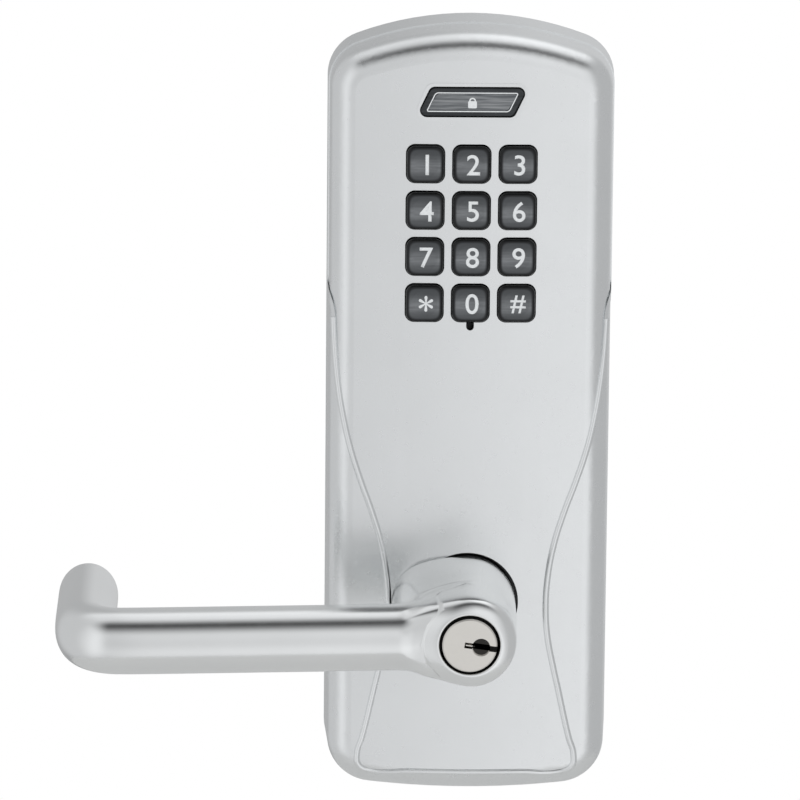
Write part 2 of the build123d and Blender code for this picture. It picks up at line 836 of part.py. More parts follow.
with BuildPart() as drive_hub:
    with BuildSketch(lever_plane(flange_depth)):
        Circle(flange_radius)
        with BuildLine():
            lug_start = (lug_radius * sin(radians(lug_half_angle)), -lug_radius * cos(radians(lug_half_angle)))
            Line((0, 0), lug_start)
            RadiusArc(lug_start, (-lug_start[0], lug_start[1]), lug_radius)
            Line((-lug_start[0], lug_start[1]), (0, 0))
        make_face()
    extrude(amount=flange_thickness)
    with BuildSketch(lever_plane(flange_front)):
        Circle(neck_bore_radius - 0.1)
    extrude(amount=boss_length)
    with BuildSketch(lever_plane(flange_front)):
        with PolarLocations(peg_circle_radius, 2, start_angle=-90 - 20, angular_range=40, endpoint=True):
            Circle(peg_radius)
    extrude(amount=peg_length)
    with BuildSketch(lever_plane(flange_depth)):
        RectangleRounded(spindle_size + 0.2, spindle_size + 0.2, 0.4)
        with PolarLocations(dog_circle_radius, 4, start_angle=45):
            Circle(dog_radius + 0.3)
    extrude(amount=spindle_front - flange_depth + 0.1, mode=Mode.SUBTRACT)
    with BuildSketch(lever_plane(spindle_front)):
        Circle(tailpiece_width / 2 + 1.5)
    extrude(amount=boss_length, mode=Mode.SUBTRACT)
    with BuildSketch(lever_screw_plane(neck_radius)):
        Circle(lever_screw_radius)
    extrude(amount=lever_screw_length + 0.4, mode=Mode.SUBTRACT)
finish(drive_hub, "drive_hub")

with BuildPart() as spring_cage:
    with BuildSketch(front_plane(plate_front)):
        Circle(cage_outer_radius)
        Circle(cage_radius, mode=Mode.SUBTRACT)
    extrude(amount=cage_height)
    with BuildSketch(front_plane(plate_front)):
        Circle(cage_outer_radius)
        Circle(plate_hole_radius, mode=Mode.SUBTRACT)
    extrude(amount=cage_floor)
    # Stops for the lug of the drive hub
    stop_angle = lever_limit + lug_half_angle + 8
    stop_middle = (stop_inner_radius + cage_radius + 0.5) / 2
    with BuildSketch(front_plane(plate_front)):
        with PolarLocations(stop_middle, 2, -90 - stop_angle, 2 * stop_angle, endpoint=True):
            Rectangle(cage_radius + 0.5 - stop_inner_radius, 4)
    extrude(amount=flange_front - plate_front)
    # Opening for the clutch fork
    with BuildSketch(front_plane(plate_front + cage_floor)):
        with Locations((cage_radius, 0)):
            Rectangle(12, fork_width + 2)
    extrude(amount=cage_height, mode=Mode.SUBTRACT)
    # Feet riveted to the backplate
    with BuildSketch(front_plane(plate_front)):
        with PolarLocations(cage_outer_radius + 2.5, 4, start_angle=45):
            Circle(3.5)
        Circle(cage_radius, mode=Mode.SUBTRACT)
    extrude(amount=1.5)
finish(spring_cage, "spring_cage")

with BuildPart() as return_spring:
    with BuildLine() as spring_path:
        Helix(
            pitch=spring_pitch, height=spring_pitch * spring_turns, radius=spring_mean_radius,
            center=(0, -spring_back, 0), direction=(0, -1, 0),
        )
    with BuildSketch(Plane(origin=spring_path.line @ 0, z_dir=spring_path.line % 0)):
        Circle(spring_wire_radius)
    sweep(path=spring_path.line, is_frenet=True)
finish(return_spring, "return_spring")

with BuildPart() as spindle:
    with BuildSketch(lever_plane(-spindle_reach)):
        Rectangle(spindle_size, spindle_size)
    extrude(amount=spindle_reach + spindle_front)
    chamfer(spindle.edges().filter_by(Axis.Y), length=0.6)
    chamfer(spindle.faces().sort_by(Axis.Y)[-1].edges(), length=0.8)
finish(spindle, "spindle")

with BuildPart() as clutch_collar:
    with BuildSketch(lever_plane(collar_back)):
        Circle(collar_radius)
    extrude(amount=collar_length)
    with BuildSketch(lever_plane(groove_middle - collar_groove_width / 2)):
        Circle(collar_radius + 1)
        Circle(collar_groove_radius, mode=Mode.SUBTRACT)
    extrude(amount=collar_groove_width, mode=Mode.SUBTRACT)
    with BuildSketch(lever_plane(collar_front)):
        with PolarLocations(dog_circle_radius, 4, start_angle=45):
            Circle(dog_radius)
    extrude(amount=dog_length)
    with BuildSketch(lever_plane(collar_back)):
        Rectangle(collar_bore, collar_bore)
    extrude(amount=collar_length + dog_length, mode=Mode.SUBTRACT)
finish(clutch_collar, "clutch_collar")

with BuildPart() as clutch_fork:
    with BuildSketch(front_plane(groove_middle - fork_thickness / 2)):
        with Locations((motor_x / 2, 0)):
            Rectangle(motor_x, fork_width)
        Circle(collar_radius)
        with Locations((-collar_radius - 1, 0)):
            Rectangle(2 * collar_radius, 2 * collar_radius, mode=Mode.SUBTRACT)
        Circle(fork_bore_radius, mode=Mode.SUBTRACT)
        with Locations((-collar_radius, 0)):
            Rectangle(2 * collar_radius, 2 * fork_bore_radius, mode=Mode.SUBTRACT)
    extrude(amount=fork_thickness)
    with BuildSketch(front_plane(groove_middle - fork_nut_length / 2, motor_x)):
        Circle(fork_nut_radius)
    extrude(amount=fork_nut_length)
    with BuildSketch(front_plane(0, motor_x)):
        Circle(screw_radius + 0.25)
    extrude(amount=body_depth, mode=Mode.SUBTRACT)
finish(clutch_fork, "clutch_fork")

with BuildPart() as drive_screw:
    with BuildSketch(front_plane(screw_back, motor_x)):
        Circle(screw_radius - 0.5)
    extrude(amount=screw_length)
    with BuildSketch(front_plane(screw_back + 0.3, motor_x)):
        Circle(screw_radius)
    extrude(amount=screw_length - 2.1)
finish(drive_screw, "drive_screw")

with BuildPart() as lock_motor:
    with BuildSketch(front_plane(motor_back, motor_x)):
        Circle(motor_radius)
        with Locations((motor_radius, 0), (-motor_radius, 0)):
            Rectangle(2, 2 * motor_radius, mode=Mode.SUBTRACT)
    extrude(amount=motor_length)
    with BuildSketch(front_plane(motor_back + motor_length - 0.4, motor_x)):
        with Locations((0, 3), (0, -3)):
            Circle(0.6)
    extrude(amount=0.7)
finish(lock_motor, "lock_motor")

with BuildPart() as motor_bracket:
    with BuildSketch(front_plane(motor_back - 0.1 - bracket_thickness, motor_x)):
        Rectangle(bracket_width, bracket_span + 2 * bracket_thickness)
        Circle(screw_radius + 0.4, mode=Mode.SUBTRACT)
    extrude(amount=bracket_thickness)
    with BuildSketch(front_plane(plate_front, motor_x)):
        for side in (-1, 1):
            with Locations((0, side * (bracket_span + bracket_thickness) / 2)):
                Rectangle(bracket_width, bracket_thickness)
    extrude(amount=motor_back - 0.1 - plate_front)
    with BuildSketch(front_plane(plate_front)):
        with Locations(motor_screw_places):
            Rectangle(bracket_width, bracket_foot)
            Circle(motor_screw_radius + 0.1, mode=Mode.SUBTRACT)
    extrude(amount=bracket_thickness)
finish(motor_bracket, "motor_bracket")

with BuildPart() as motor_screws:
    with BuildSketch(front_plane(plate_front + bracket_thickness)):
        with Locations(motor_screw_places):
            Circle(2 * motor_screw_radius)
    extrude(amount=1.2)
    with BuildSketch(front_plane(gasket_thickness + 0.2)):
        with Locations(motor_screw_places):
            Circle(motor_screw_radius)
    extrude(amount=plate_front + bracket_thickness - gasket_thickness)
    with BuildSketch(front_plane(plate_front + bracket_thickness + 0.6)):
        with Locations(motor_screw_places):
            Rectangle(2.4, 0.5)
            Rectangle(0.5, 2.4)
    extrude(amount=1, mode=Mode.SUBTRACT)
finish(motor_screws, "motor_screws")

# ---------------------------------------------------------------------------
# Key cylinder in the lever
# ---------------------------------------------------------------------------

pin_depths = [first_pin_depth + index * pin_pitch for index in range(pin_count)]


def cylinder_plane(depth):
    """Front plane of the key cylinder, with the keyway running out along local +X."""
    return turned_plane(depth, cylinder_turn)


def pin_plane(depth):
    """Plane across the pin tower, facing away from the plug, on the cylinder axis."""
    face = cylinder_plane(depth)
    return Plane(origin=face.origin, x_dir=(0, -1, 0), z_dir=-face.x_dir)


with BuildPart() as cylinder_plug:
    with BuildSketch(cylinder_plane(plug_back)):
        Circle(plug_radius)
    extrude(amount=plug_head_back - plug_back)
    with BuildSketch(cylinder_plane(plug_head_back)):
        Circle(plug_head_radius)
    extrude(amount=hub_front + plug_proud - plug_head_back)
    chamfer(cylinder_plug.faces().sort_by(Axis.Y)[0].edges(), length=0.4)
    # Keyway, open at the rim, with a dished mouth
    with BuildSketch(cylinder_plane(plug_back + 2)):
        with Locations(((keyway_start + plug_head_radius + 1) / 2, 0)):
            Rectangle(plug_head_radius + 1 - keyway_start, keyway_width)
    extrude(amount=hub_front, mode=Mode.SUBTRACT)
    with BuildSketch(cylinder_plane(hub_front + plug_proud - 0.9)):
        with Locations((keyway_dish_x, 0)):
            Circle(keyway_dish_radius)
    extrude(amount=2, mode=Mode.SUBTRACT)
    for pin_depth in pin_depths:
        with BuildSketch(pin_plane(pin_depth)):
            Circle(pin_radius + 0.08)
        extrude(amount=plug_head_radius, mode=Mode.SUBTRACT)
    # Groove for the clip that keeps the plug in its shell
    with BuildSketch(cylinder_plane(plug_back)):
        Circle(plug_radius + 1)
        Circle(plug_radius - 0.8, mode=Mode.SUBTRACT)
    extrude(amount=clip_thickness + 0.1, mode=Mode.SUBTRACT)
finish(cylinder_plug, "cylinder_plug")

with BuildPart() as key_pins:
    for index, pin_depth in enumerate(pin_depths):
        bite = (index * 3) % pin_count * 0.35
        with BuildSketch(pin_plane(pin_depth).offset(0.4 + bite)):
            Circle(pin_radius)
        extrude(amount=plug_radius - 0.15 - 0.4 - bite)
finish(key_pins, "key_pins")

with BuildPart() as cylinder_shell:
    with BuildSketch(cylinder_plane(shell_back)):
        Circle(shell_radius)
    extrude(amount=shell_front - shell_back)
    with BuildSketch(cylinder_plane(shell_back)):
        with Locations((-pin_tower_reach / 2, 0)):
            Rectangle(pin_tower_reach, pin_tower_width)
    extrude(amount=pin_tower_front - shell_back)
    with BuildSketch(cylinder_plane(shell_back)):
        Circle(neck_bore_radius - 0.15)
    extrude(amount=shell_front - shell_back, mode=Mode.INTERSECT)
    with BuildSketch(cylinder_plane(shell_back)):
        Circle(plug_radius + shear_gap)
    extrude(amount=shell_front, mode=Mode.SUBTRACT)
    for pin_depth in pin_depths:
        with BuildSketch(pin_plane(pin_depth)):
            Circle(pin_radius + 0.08)
        extrude(amount=pin_tower_reach - 0.7, mode=Mode.SUBTRACT)
finish(cylinder_shell, "cylinder_shell")

with BuildPart() as driver_pins:
    for pin_depth in pin_depths:
        with BuildSketch(pin_plane(pin_depth).offset(driver_start)):
            Circle(pin_radius)
        extrude(amount=driver_length)
finish(driver_pins, "driver_pins")

with BuildPart() as pin_springs:
    for pin_depth in pin_depths:
        spring_length = pin_tower_reach - 0.75 - driver_start - driver_length
        with BuildSketch(pin_plane(pin_depth).offset(driver_start + driver_length + 0.02)):
            Circle(pin_radius - 0.2)
            Circle(pin_radius - 0.6, mode=Mode.SUBTRACT)
        extrude(amount=spring_length)
finish(pin_springs, "pin_springs")

with BuildPart() as cylinder_retainer:
    with BuildSketch(cylinder_plane(plug_back + 0.05)):
        Circle(plug_radius + 1)
        Circle(plug_radius - 0.75, mode=Mode.SUBTRACT)
        with Locations((0, plug_radius)):
            Rectangle(4, plug_radius, mode=Mode.SUBTRACT)
    extrude(amount=clip_thickness)
finish(cylinder_retainer, "cylinder_retainer")

with BuildPart() as cylinder_holder:
    with BuildSketch(cylinder_plane(shell_back)):
        Circle(neck_bore_radius - 0.05)
        Circle(shell_radius + 0.05, mode=Mode.SUBTRACT)
        with Locations((-pin_tower_reach, 0)):
            Rectangle(2 * pin_tower_reach, pin_tower_width + 0.2, mode=Mode.SUBTRACT)
    extrude(amount=holder_length)
finish(cylinder_holder, "cylinder_holder")

with BuildPart() as tailpiece:
    with BuildSketch(cylinder_plane(tailpiece_end)):
        Rectangle(tailpiece_width, tailpiece_thickness)
    extrude(amount=plug_back - tailpiece_end)
finish(tailpiece, "tailpiece")
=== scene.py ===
"""Looks of the exterior trim of a keypad smart lock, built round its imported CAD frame."""

from __future__ import annotations

import logging
import math
from dataclasses import dataclass
from enum import Enum

import bpy
from mathutils import Matrix, Vector


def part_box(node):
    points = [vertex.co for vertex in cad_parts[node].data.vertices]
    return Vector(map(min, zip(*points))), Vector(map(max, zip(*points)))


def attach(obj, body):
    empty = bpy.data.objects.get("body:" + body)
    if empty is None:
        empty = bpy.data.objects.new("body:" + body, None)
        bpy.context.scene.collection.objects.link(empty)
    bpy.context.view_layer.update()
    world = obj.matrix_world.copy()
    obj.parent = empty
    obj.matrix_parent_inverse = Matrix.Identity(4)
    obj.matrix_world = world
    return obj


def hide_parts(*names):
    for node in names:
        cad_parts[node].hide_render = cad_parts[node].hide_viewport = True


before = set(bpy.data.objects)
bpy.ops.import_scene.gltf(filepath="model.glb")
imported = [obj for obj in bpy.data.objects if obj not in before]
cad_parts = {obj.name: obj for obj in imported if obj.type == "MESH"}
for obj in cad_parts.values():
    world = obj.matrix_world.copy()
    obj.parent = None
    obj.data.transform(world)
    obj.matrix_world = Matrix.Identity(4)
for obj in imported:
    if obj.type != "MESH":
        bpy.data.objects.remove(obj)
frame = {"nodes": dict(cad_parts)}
log = logging.getLogger("keypad_lock")

MM = 0.001
Colour = tuple[float, float, float]


# ---------------------------------------------------------------------------
# Shader helpers
# ---------------------------------------------------------------------------


class NodeSheet:
    """Thin wrapper that adds and wires the nodes of one node tree."""

    def __init__(self, tree: bpy.types.NodeTree) -> None:
        """Empty the tree and start a new sheet.

        Args:
            tree: Node tree of a material or a world.
        """
        self.tree = tree
        tree.nodes.clear()

    def add(self, kind: str, **settings: object) -> bpy.types.Node:
        """Add a node and set its properties.

        Args:
            kind: Type name without its ShaderNode prefix.
            settings: Node properties to set.

        Returns:
            The new node.
        """
        node = self.tree.nodes.new("ShaderNode" + kind)
        for name, value in settings.items():
            setattr(node, name, value)
        return node

    def link(self, source: bpy.types.NodeSocket, target: bpy.types.NodeSocket) -> None:
        """Wire one socket to another."""
        self.tree.links.new(source, target)

    def maths(self, operation: str, *values: object) -> bpy.types.NodeSocket:
        """Add a Math node.

        Args:
            operation: Name of the operation.
            values: One entry per input, either a socket or a number.

        Returns:
            The result socket.
        """
        node = self.add("Math", operation=operation)
        for index, value in enumerate(values):
            if isinstance(value, bpy.types.NodeSocket):
                self.link(value, node.inputs[index])
            else:
                node.inputs[index].default_value = value
        return node.outputs[0]

    def spread(self, source: bpy.types.NodeSocket, low: float, high: float) -> bpy.types.NodeSocket:
        """Map a noise value onto a range.

        Args:
            source: Noise factor, mostly between 0.3 and 0.7.
            low: Result at the low end.
            high: Result at the high end.

        Returns:
            The mapped socket.
        """
        node = self.add("MapRange")
        node.inputs["From Min"].default_value = 0.3
        node.inputs["From Max"].default_value = 0.7
        node.inputs["To Min"].default_value = low
        node.inputs["To Max"].default_value = high
        self.link(source, node.inputs["Value"])
        return node.outputs["Result"]

    def noise(self, vector: bpy.types.NodeSocket, scale: float, detail: float) -> bpy.types.NodeSocket:
        """Add a noise texture.

        Args:
            vector: Coordinates that it reads.
            scale: Features per metre.
            detail: Octaves of finer detail.

        Returns:
            The factor socket.
        """
        node = self.add("TexNoise")
        node.inputs["Scale"].default_value = scale
        node.inputs["Detail"].default_value = detail
        self.link(vector, node.inputs["Vector"])
        return node.outputs["Fac"]

    def tint(self, factor: bpy.types.NodeSocket, low: object, high: object) -> bpy.types.NodeSocket:
        """Mix two colours by a factor.

        Args:
            factor: Mixing factor.
            low: Colour or colour socket at 0.
            high: Colour or colour socket at 1.

        Returns:
            The colour socket.
        """
        node = self.add("Mix", data_type="RGBA")
        for socket, colour in ((node.inputs[6], low), (node.inputs[7], high)):
            if isinstance(colour, bpy.types.NodeSocket):
                self.link(colour, socket)
            else:
                socket.default_value = (*colour, 1)
        self.link(factor, node.inputs["Factor"])
        return node.outputs[2]

    def place(self) -> bpy.types.Node:
        """Object coordinates, split into X, Y and Z."""
        split = self.add("SeparateXYZ")
        self.link(self.stretched((1, 1, 1)), split.inputs[0])
        return split

    def fade(self, source: bpy.types.NodeSocket, zero_at: float, one_at: float) -> bpy.types.NodeSocket:
        """Fade smoothly from 0 to 1 between two values of a socket.

        Args:
            source: Socket that is read.
            zero_at: Value where the fade is 0.
            one_at: Value where the fade is 1.

        Returns:
            The mask socket.
        """
        node = self.add("MapRange", interpolation_type="SMOOTHSTEP")
        node.inputs["From Min"].default_value = zero_at
        node.inputs["From Max"].default_value = one_at
        self.link(source, node.inputs["Value"])
        return node.outputs["Result"]

    def stretched(self, scale: Colour) -> bpy.types.NodeSocket:
        """Object coordinates, stretched along each axis.

        Args:
            scale: Scale along X, Y and Z.

        Returns:
            The vector socket.
        """
        coordinates = self.add("TexCoord")
        mapping = self.add("Mapping")
        mapping.inputs["Scale"].default_value = scale
        self.link(coordinates.outputs["Object"], mapping.inputs["Vector"])
        return mapping.outputs["Vector"]

    def bump(self, height: bpy.types.NodeSocket, strength: float, distance: float) -> bpy.types.NodeSocket:
        """Turn a height into a surface normal.

        Args:
            height: Height factor.
            strength: Share of the effect.
            distance: Depth of the relief in metres.

        Returns:
            The normal socket.
        """
        node = self.add("Bump")
        node.inputs["Strength"].default_value = strength
        node.inputs["Distance"].default_value = distance
        self.link(height, node.inputs["Height"])
        return node.outputs["Normal"]


def shader_sheet(name: str) -> tuple[bpy.types.Material, NodeSheet, bpy.types.Node]:
    """Start a material with a principled shader.

    Args:
        name: Name of the material.

    Returns:
        The material, its node sheet and the shader node.
    """
    material = bpy.data.materials.new(name)
    material.use_nodes = True
    sheet = NodeSheet(material.node_tree)
    shader = sheet.add("BsdfPrincipled")
    output = sheet.add("OutputMaterial")
    sheet.link(shader.outputs[0], output.inputs["Surface"])
    return material, sheet, shader


class Brushing(Enum):
    """Direction of the fine scratches in a metal surface."""

    BLASTED = "blasted"
    ALONG_X = "along x"
    ALONG_Z = "along z"
    ROUND_LEVER_AXIS = "round the lever axis"


# ---------------------------------------------------------------------------
# Finishes
# ---------------------------------------------------------------------------


@dataclass(frozen=True)
class MetalFinish:
    """Bare or plated metal with a grain, faint clouding and handling marks."""

    name: str
    colour: Colour
    shade: Colour
    roughness: float
    roughness_spread: float
    brushing: Brushing = Brushing.BLASTED
    grain: float = 5200.0
    grain_depth: float = 6e-6
    coat: float = 0.0
    coat_roughness: float = 0.03

    def face(self, sheet: NodeSheet, plating: bpy.types.NodeSocket) -> bpy.types.NodeSocket:
        """Colour of the face, which is that of the plating all over."""
        return plating

    def grain_factor(self, sheet: NodeSheet) -> bpy.types.NodeSocket:
        """Noise that follows the brushing direction.

        Args:
            sheet: Node sheet of the material.

        Returns:
            The factor socket.
        """
        if self.brushing is Brushing.ROUND_LEVER_AXIS:
            split = sheet.place()
            squares = [sheet.maths("MULTIPLY", split.outputs[i], split.outputs[i]) for i in (0, 2)]
            radius = sheet.maths("SQRT", sheet.maths("ADD", *squares))
            joined = sheet.add("CombineXYZ")
            sheet.link(radius, joined.inputs[0])
            return sheet.noise(joined.outputs[0], self.grain, 3)
        along = {Brushing.ALONG_X: (0.02, 1, 1), Brushing.ALONG_Z: (1, 1, 0.02)}
        return sheet.noise(sheet.stretched(along.get(self.brushing, (1, 1, 1))), self.grain, 3)

    def build(self) -> bpy.types.Material:
        """Make the material.

        Returns:
            The finished material.
        """
        material, sheet, shader = shader_sheet(self.name)
        plain = sheet.stretched((1, 1, 1))
        grain = self.grain_factor(sheet)
        clouds = sheet.noise(plain, 55, 4)
        marks = sheet.noise(plain, 420, 5)
        vary = self.roughness_spread
        handled = sheet.spread(marks, self.roughness - vary, self.roughness + vary)
        rough = sheet.maths("ADD", handled, sheet.spread(grain, -0.3 * vary, 0.3 * vary))
        plating = sheet.tint(sheet.spread(clouds, 0, 1), self.shade, self.colour)
        sheet.link(self.face(sheet, plating), shader.inputs["Base Color"])
        sheet.link(rough, shader.inputs["Roughness"])
        sheet.link(sheet.bump(grain, 0.35, self.grain_depth), shader.inputs["Normal"])
        shader.inputs["Metallic"].default_value = 1.0
        shader.inputs["Coat Weight"].default_value = self.coat
        shader.inputs["Coat Roughness"].default_value = self.coat_roughness
        return material


@dataclass(frozen=True)
class PlugFinish(MetalFinish):
    """Turned nickel face with painted shade darkening the recessed dish beside the keyway."""

    coat: float = 0.15
    coat_roughness: float = 0.1
    dish_x: float = 3.47 * MM
    dish_z: float = -0.48 * MM
    dish_radius: float = 2.75 * MM
    # Near-black painted shade for the recessed dish.
    burnished: Colour = (0.035, 0.033, 0.03)

    def face(self, sheet: NodeSheet, plating: bpy.types.NodeSocket) -> bpy.types.NodeSocket:
        """Paint shade into the recessed dish.

        Args:
            sheet: Node sheet of the material.
            plating: Colour of the face round the dish.

        Returns:
            The colour socket.
        """
        split = sheet.place()
        across = sheet.maths("SUBTRACT", split.outputs[0], self.dish_x)
        up = sheet.maths("SUBTRACT", split.outputs[2], self.dish_z)
        squares = [sheet.maths("MULTIPLY", side, side) for side in (across, up)]
        reach = sheet.maths("SQRT", sheet.maths("ADD", *squares))
        inside = sheet.fade(reach, self.dish_radius + 0.1 * MM, self.dish_radius - 0.25 * MM)
        return sheet.tint(inside, plating, self.burnished)


@dataclass(frozen=True)
class PlasticFinish:
    """Moulded plastic, rubber or silicone with a fine spark-eroded texture."""

    name: str
    colour: Colour
    roughness: float
    texture: float = 2600.0
    texture_depth: float = 1.2e-5
    coat: float = 0.0
    soft: float = 0.0

    def build(self) -> bpy.types.Material:
        """Make the material.

        Returns:
            The finished material.
        """
        material, sheet, shader = shader_sheet(self.name)
        plain = sheet.stretched((1, 1, 1))
        fine = sheet.noise(plain, self.texture, 4)
        broad = sheet.noise(plain, 130, 3)
        darker = tuple(0.8 * channel for channel in self.colour)
        sheet.link(sheet.tint(sheet.spread(broad, 0, 1), darker, self.colour), shader.inputs["Base Color"])
        rough = sheet.spread(fine, self.roughness - 0.06, self.roughness + 0.06)
        sheet.link(rough, shader.inputs["Roughness"])
        sheet.link(sheet.bump(fine, 0.5, self.texture_depth), shader.inputs["Normal"])
        shader.inputs["Coat Weight"].default_value = self.coat
        shader.inputs["Subsurface Weight"].default_value = self.soft
        shader.inputs["Subsurface Radius"].default_value = (0.001, 0.001, 0.001)
        return material


@dataclass(frozen=True)
class KeyFinish:
    """Dark brushed cap under a clear hard coat, with streaks across each cap; keys may also get painted shade
    round each cap's border and a painted highlight band across it.
    """

    name: str
    dark: Colour
    light: Colour
    roughness: float
    # Whether to paint shade round each cap's border and a highlight band across the cap.
    framed: bool = False
    # Near-black painted shade round the border of each cap.
    frame_colour: Colour = (0.012, 0.013, 0.014)
    pitch_x: float = 14.2 * MM
    pitch_z: float = 14.62 * MM
    lowest_row: float = 95.9 * MM
    half_width: float = 5.65 * MM
    half_height: float = 5.8 * MM

    def cap_place(self, sheet: NodeSheet) -> list[bpy.types.NodeSocket]:
        """Place on the cap, from -1 to 1 across and up.

        Args:
            sheet: Node sheet of the material.

        Returns:
            The two sockets.
        """
        split = sheet.place()
        rows = ((split.outputs[0], 0.0, self.pitch_x, self.half_width),
                (split.outputs[2], self.lowest_row, self.pitch_z, self.half_height))
        sockets = []
        for along, start, pitch, half in rows:
            cell = sheet.maths("DIVIDE", sheet.maths("SUBTRACT", along, start), pitch)
            offset = sheet.maths("SUBTRACT", cell, sheet.maths("ROUND", cell))
            sockets.append(sheet.maths("MULTIPLY", offset, pitch / half))
        return sockets

    def framing(self, sheet: NodeSheet) -> tuple[bpy.types.NodeSocket, bpy.types.NodeSocket]:
        """Masks of the bare middle, outside which shade is painted round the cap's border, and of the painted
        highlight band across it.

        Args:
            sheet: Node sheet of the material.

        Returns:
            The middle mask and the painted highlight band mask.
        """
        across, up = self.cap_place(sheet)
        powers = [sheet.maths("POWER", sheet.maths("ABSOLUTE", place), 5.0) for place in (across, up)]
        reach = sheet.maths("POWER", sheet.maths("ADD", *powers), 0.2)
        # Painted shade fades in over the outer part of each cap; the painted highlight band is a soft lighter
        # stripe just below the middle.
        middle = sheet.fade(reach, 0.9, 0.76)
        lowered = sheet.maths("ADD", up, 0.12)
        spread = sheet.maths("MULTIPLY", sheet.maths("MULTIPLY", lowered, lowered), -5.0)
        return middle, sheet.maths("EXPONENT", spread)

    def build(self) -> bpy.types.Material:
        """Make the material.

        Returns:
            The finished material.
        """
        material, sheet, shader = shader_sheet(self.name)
        streaks = sheet.noise(sheet.stretched((0.06, 1, 1)), 1500, 2)
        fine = sheet.noise(sheet.stretched((0.03, 1, 1)), 7000, 2)
        share = sheet.spread(streaks, 0, 1)
        colour = sheet.tint(share, self.dark, self.light)
        # Painted light: a lighter highlight band across each cap and near-black shade round its border.
        if self.framed:
            middle, painted_highlight_band = self.framing(sheet)
            streaked = sheet.maths("ADD", sheet.maths("MULTIPLY", share, 0.45), 0.55)
            face = sheet.tint(sheet.maths("MULTIPLY", streaked, painted_highlight_band), self.dark, self.light)
            colour = sheet.tint(middle, self.frame_colour, face)
        sheet.link(colour, shader.inputs["Base Color"])
        rough = sheet.spread(fine, self.roughness - 0.05, self.roughness + 0.08)
        sheet.link(rough, shader.inputs["Roughness"])
        sheet.link(sheet.bump(fine, 0.3, 6e-6), shader.inputs["Normal"])
        shader.inputs["Metallic"].default_value = 0.85
        shader.inputs["Coat Weight"].default_value = 0.35
        shader.inputs["Coat Roughness"].default_value = 0.2
        return material


@dataclass(frozen=True)
class ClearFinish:
    """Clear moulded plastic with faint flow lines."""

    name: str
    colour: Colour
    roughness: float

    def build(self) -> bpy.types.Material:
        """Make the material.

        Returns:
            The finished material.
        """
        material, sheet, shader = shader_sheet(self.name)
        flow = sheet.noise(sheet.stretched((1, 0.2, 1)), 900, 2)
        sheet.link(sheet.spread(flow, self.roughness, self.roughness + 0.1), shader.inputs["Roughness"])
        shader.inputs["Base Color"].default_value = (*self.colour, 1)
        shader.inputs["Transmission Weight"].default_value = 0.9
        shader.inputs["IOR"].default_value = 1.49
        return material


@dataclass(frozen=True)
class InkFinish:
    """Printed marking with a slight unevenness, and a faint emission that is a painted glow."""

    name: str
    colour: Colour
    # Emission strength of the painted glow, which lifts the print brighter than the lamps light it.
    glow: float

    def build(self) -> bpy.types.Material:
        """Make the material.

        Returns:
            The finished material.
        """
        material, sheet, shader = shader_sheet(self.name)
        patchy = sheet.noise(sheet.stretched((1, 1, 1)), 1800, 2)
        thin = tuple(0.9 * channel for channel in self.colour)
        sheet.link(sheet.tint(sheet.spread(patchy, 0, 1), thin, self.colour), shader.inputs["Base Color"])
        shader.inputs["Roughness"].default_value = 0.45
        shader.inputs["Emission Color"].default_value = (*self.colour, 1)
        shader.inputs["Emission Strength"].default_value = self.glow
        return material


@dataclass(frozen=True)
class BoardFinish:
    """Circuit board: solder mask over copper tracks, with bare pads."""

    name: str
    mask: Colour
    track: Colour
    pad: Colour

    def build(self) -> bpy.types.Material:
        """Make the material.

        Returns:
            The finished material.
        """
        material, sheet, shader = shader_sheet(self.name)
        tracks = sheet.add("TexBrick")
        tracks.inputs["Scale"].default_value = 260
        tracks.inputs["Mortar Size"].default_value = 0.06
        tracks.inputs["Color1"].default_value = (*self.mask, 1)
        tracks.inputs["Color2"].default_value = (*(0.8 * channel for channel in self.mask), 1)
        tracks.inputs["Mortar"].default_value = (*self.track, 1)
        swap = sheet.place()
        joined = sheet.add("CombineXYZ")
        sheet.link(swap.outputs[0], joined.inputs[0])
        sheet.link(swap.outputs[2], joined.inputs[1])
        sheet.link(joined.outputs[0], tracks.inputs["Vector"])
        pads = sheet.add("TexVoronoi", feature="F1")
        pads.inputs["Scale"].default_value = 210
        sheet.link(joined.outputs[0], pads.inputs["Vector"])
        is_pad = sheet.maths("LESS_THAN", pads.outputs["Distance"], 0.16)
        sheet.link(sheet.tint(is_pad, tracks.outputs["Color"], self.pad), shader.inputs["Base Color"])
        sheet.link(sheet.maths("MULTIPLY", is_pad, 0.9), shader.inputs["Metallic"])
        shader.inputs["Roughness"].default_value = 0.28
        return material


SATIN_CHROME = MetalFinish(
    "satin_chrome", (0.865, 0.878, 0.883), (0.845, 0.858, 0.862), 0.26, 0.015, grain_depth=2e-6
)
LEVER_CHROME = MetalFinish(
    "lever_chrome", (0.89, 0.90, 0.90), (0.865, 0.875, 0.875), 0.19, 0.015, grain_depth=2e-6
)
CYLINDER_NICKEL = PlugFinish(
    "cylinder_nickel", (0.80, 0.775, 0.73), (0.75, 0.725, 0.68), 0.24, 0.03, Brushing.ROUND_LEVER_AXIS, 9000.0
)
ZINC_PLATE = MetalFinish("zinc_plate", (0.70, 0.71, 0.70), (0.52, 0.54, 0.53), 0.34, 0.08, Brushing.ALONG_Z)
BLACK_STEEL = MetalFinish("spring_steel", (0.22, 0.23, 0.25), (0.12, 0.13, 0.14), 0.3, 0.06)
